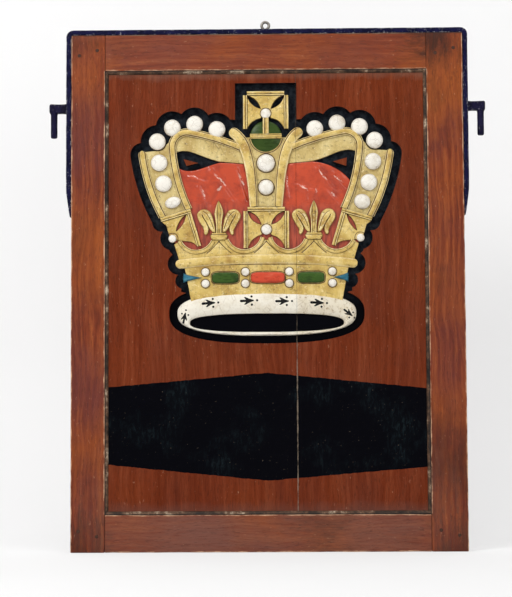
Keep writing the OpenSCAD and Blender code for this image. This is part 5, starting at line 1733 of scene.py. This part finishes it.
for z, seed in ((0, 3.0), (arch["topCrossZ"], 4.0)):
    parts.append(pearl((0, z), pearls["crossR"], cross["plate"] - 1, smallRise, seed))
pearlGroup("centrePearls", parts)
parts = [pearl((side * halfC[0], halfC[1]), pearls["smallR"], 0, smallRise, side * 5.0) for side in (-1, 1)]
pearlGroup("sidePearls", parts)
onBand = circlet["height"] - 1
parts = [pearl((u, v), circlet["pearlR"], onBand, smallRise, seed) for u, v, seed in pairSpots]
pearlGroup("circletPearls", parts)


def stoneMesh(outline, middle, length, rise):
    # bevelled stone with a slightly domed table
    def top(u, v):
        return circlet["height"] + rise - 0.8 * ((u - middle) / length) ** 2
    return skirted(reliefSheet([outline], top, step=2.0, edge=3.6, drop=rise * 0.75, rim=0.75), onBand)


jewelCut = {"amount": 0.3, "grain": 0.06, "sharp": 70}
for name, slotName, x, half in (
    ("redJewel", "jewel_red", circlet["redX"], circlet["redHalf"]),
    ("greenJewelLeft", "jewel_green", circlet["greenX"][0], circlet["greenHalf"]),
    ("greenJewelRight", "jewel_green", circlet["greenX"][1], circlet["greenHalf"]),
):
    carved(stoneMesh(stoneOutline(x, half), x, half, circlet["rise"]), name, slotName, **jewelCut)
blueParts = [stoneMesh(blueOutline(side), side * 132, 20, circlet["blueRise"]) for side in (-1, 1)]
carved(gathered(blueParts), "blueJewels", "jewel_blue", **jewelCut)
print("pearls and jewels made")


# room, light and camera

studio = {
    "floorZ": -0.7765, "wallY": 0.55, "cove": 0.4, "wide": 5.0, "front": -6.0, "tall": 4.0, "white": 0.86,
    "glow": 0.55,
    "air": 0.36,
}


def seenStraight():
    # 1 for what the camera sees, also by way of a glossy or clear face
    ray = put("ShaderNodeLightPath", {}).outputs
    passed = sums("MAXIMUM", ray["Is Glossy Ray"], ray["Is Transmission Ray"])
    return sums("MAXIMUM", ray["Is Camera Ray"], passed)


def blended(share, below, above):
    return put("ShaderNodeMixShader", {0: share, 1: below.outputs[0], 2: above.outputs[0]})


def paperMaterial(name):
    startMaterial(name)
    white = studio["white"]
    tone = sheen(cloud(1.2, 2.0), white - 0.02, white + 0.02)
    plain = put("ShaderNodeBsdfDiffuse", {"Color": tone})
    glow = put("ShaderNodeEmission", {"Strength": 1.0})
    both = blended(times(seenStraight(), studio["glow"]), plain, glow)
    back = put("ShaderNodeNewGeometry", {}).outputs["Backfacing"]
    surface = blended(back, both, put("ShaderNodeBsdfTransparent", {})).outputs[0]
    tree = work["tree"]
    tree.nodes.remove(work["shader"])
    tree.links.new(surface, tree.nodes["Material Output"].inputs["Surface"])
    return work["material"]


def paperSweep():
    # floor, rounded cove and wall in one sheet, clear from behind
    floor, wall, cove = studio["floorZ"], studio["wallY"], studio["cove"]
    line = [(studio["front"], floor), (wall - cove, floor)]
    line += arc((wall - cove, floor + cove), cove, -90, 0, 16)[1:] + [(wall, studio["tall"])]
    bm = bmesh.new()
    rows = [[bm.verts.new((x, y, z)) for x in (-studio["wide"], studio["wide"])] for y, z in line]
    for a, b in zip(rows, rows[1:]):
        bm.faces.new((a[0], a[1], b[1], b[0])).smooth = True
    mesh = bpy.data.meshes.new("paperSweep")
    bm.to_mesh(mesh)
    bm.free()
    sweep = bpy.data.objects.new("paperSweep", mesh)
    mesh.materials.append(paperMaterial("paper"))
    bpy.context.scene.collection.objects.link(sweep)
    return sweep


paperSweep()

world = bpy.data.worlds.new("studioAir")
bpy.context.scene.world = world
world.use_nodes = True
world.node_tree.nodes.clear()
work["tree"] = world.node_tree
lightAir = put("ShaderNodeBackground", {"Color": (1, 1, 1, 1), "Strength": studio["air"]})
whiteAir = put("ShaderNodeBackground", {"Color": (1, 1, 1, 1), "Strength": 1.0})
air = blended(seenStraight(), lightAir, whiteAir)
put("ShaderNodeOutputWorld", {"Surface": air.outputs[0]})

# lamps as place, size and power
lamps = {
    "key": ((-1.8, -2.3, 1.7), 0.9, 66.0), "fill": ((2.2, -2.8, 0.3), 1.6, 20.0),
    "top": ((0.3, -0.9, 2.2), 1.2, 20.0),
}
aim = Vector((0.0, 0.0, -0.3))
for name, (spot, size, power) in lamps.items():
    data = bpy.data.lights.new(name, "AREA")
    data.size = size
    data.energy = power
    lamp = bpy.data.objects.new(name, data)
    lamp.location = spot
    lamp.rotation_euler = (aim - Vector(spot)).to_track_quat("-Z", "Y").to_euler()
    bpy.context.scene.collection.objects.link(lamp)

view = {"spot": (0.0235, -2.8241, -0.5235), "way": (-0.01576, 0.9976, 0.0675), "roll": -0.3, "focal": 96.48}
cameraData = bpy.data.cameras.new("camera")
cameraData.lens = view["focal"]
cameraData.sensor_width = 36.0
camera = bpy.data.objects.new("camera", cameraData)
camera.location = view["spot"]
camera.rotation_mode = "QUATERNION"
upright = Vector(view["way"]).to_track_quat("-Z", "Y")
camera.rotation_quaternion = upright @ Quaternion((0, 0, 1), math.radians(view["roll"]))
bpy.context.scene.collection.objects.link(camera)
bpy.context.scene.camera = camera
bpy.context.scene.view_settings.view_transform = "Standard"
print("studio ready")
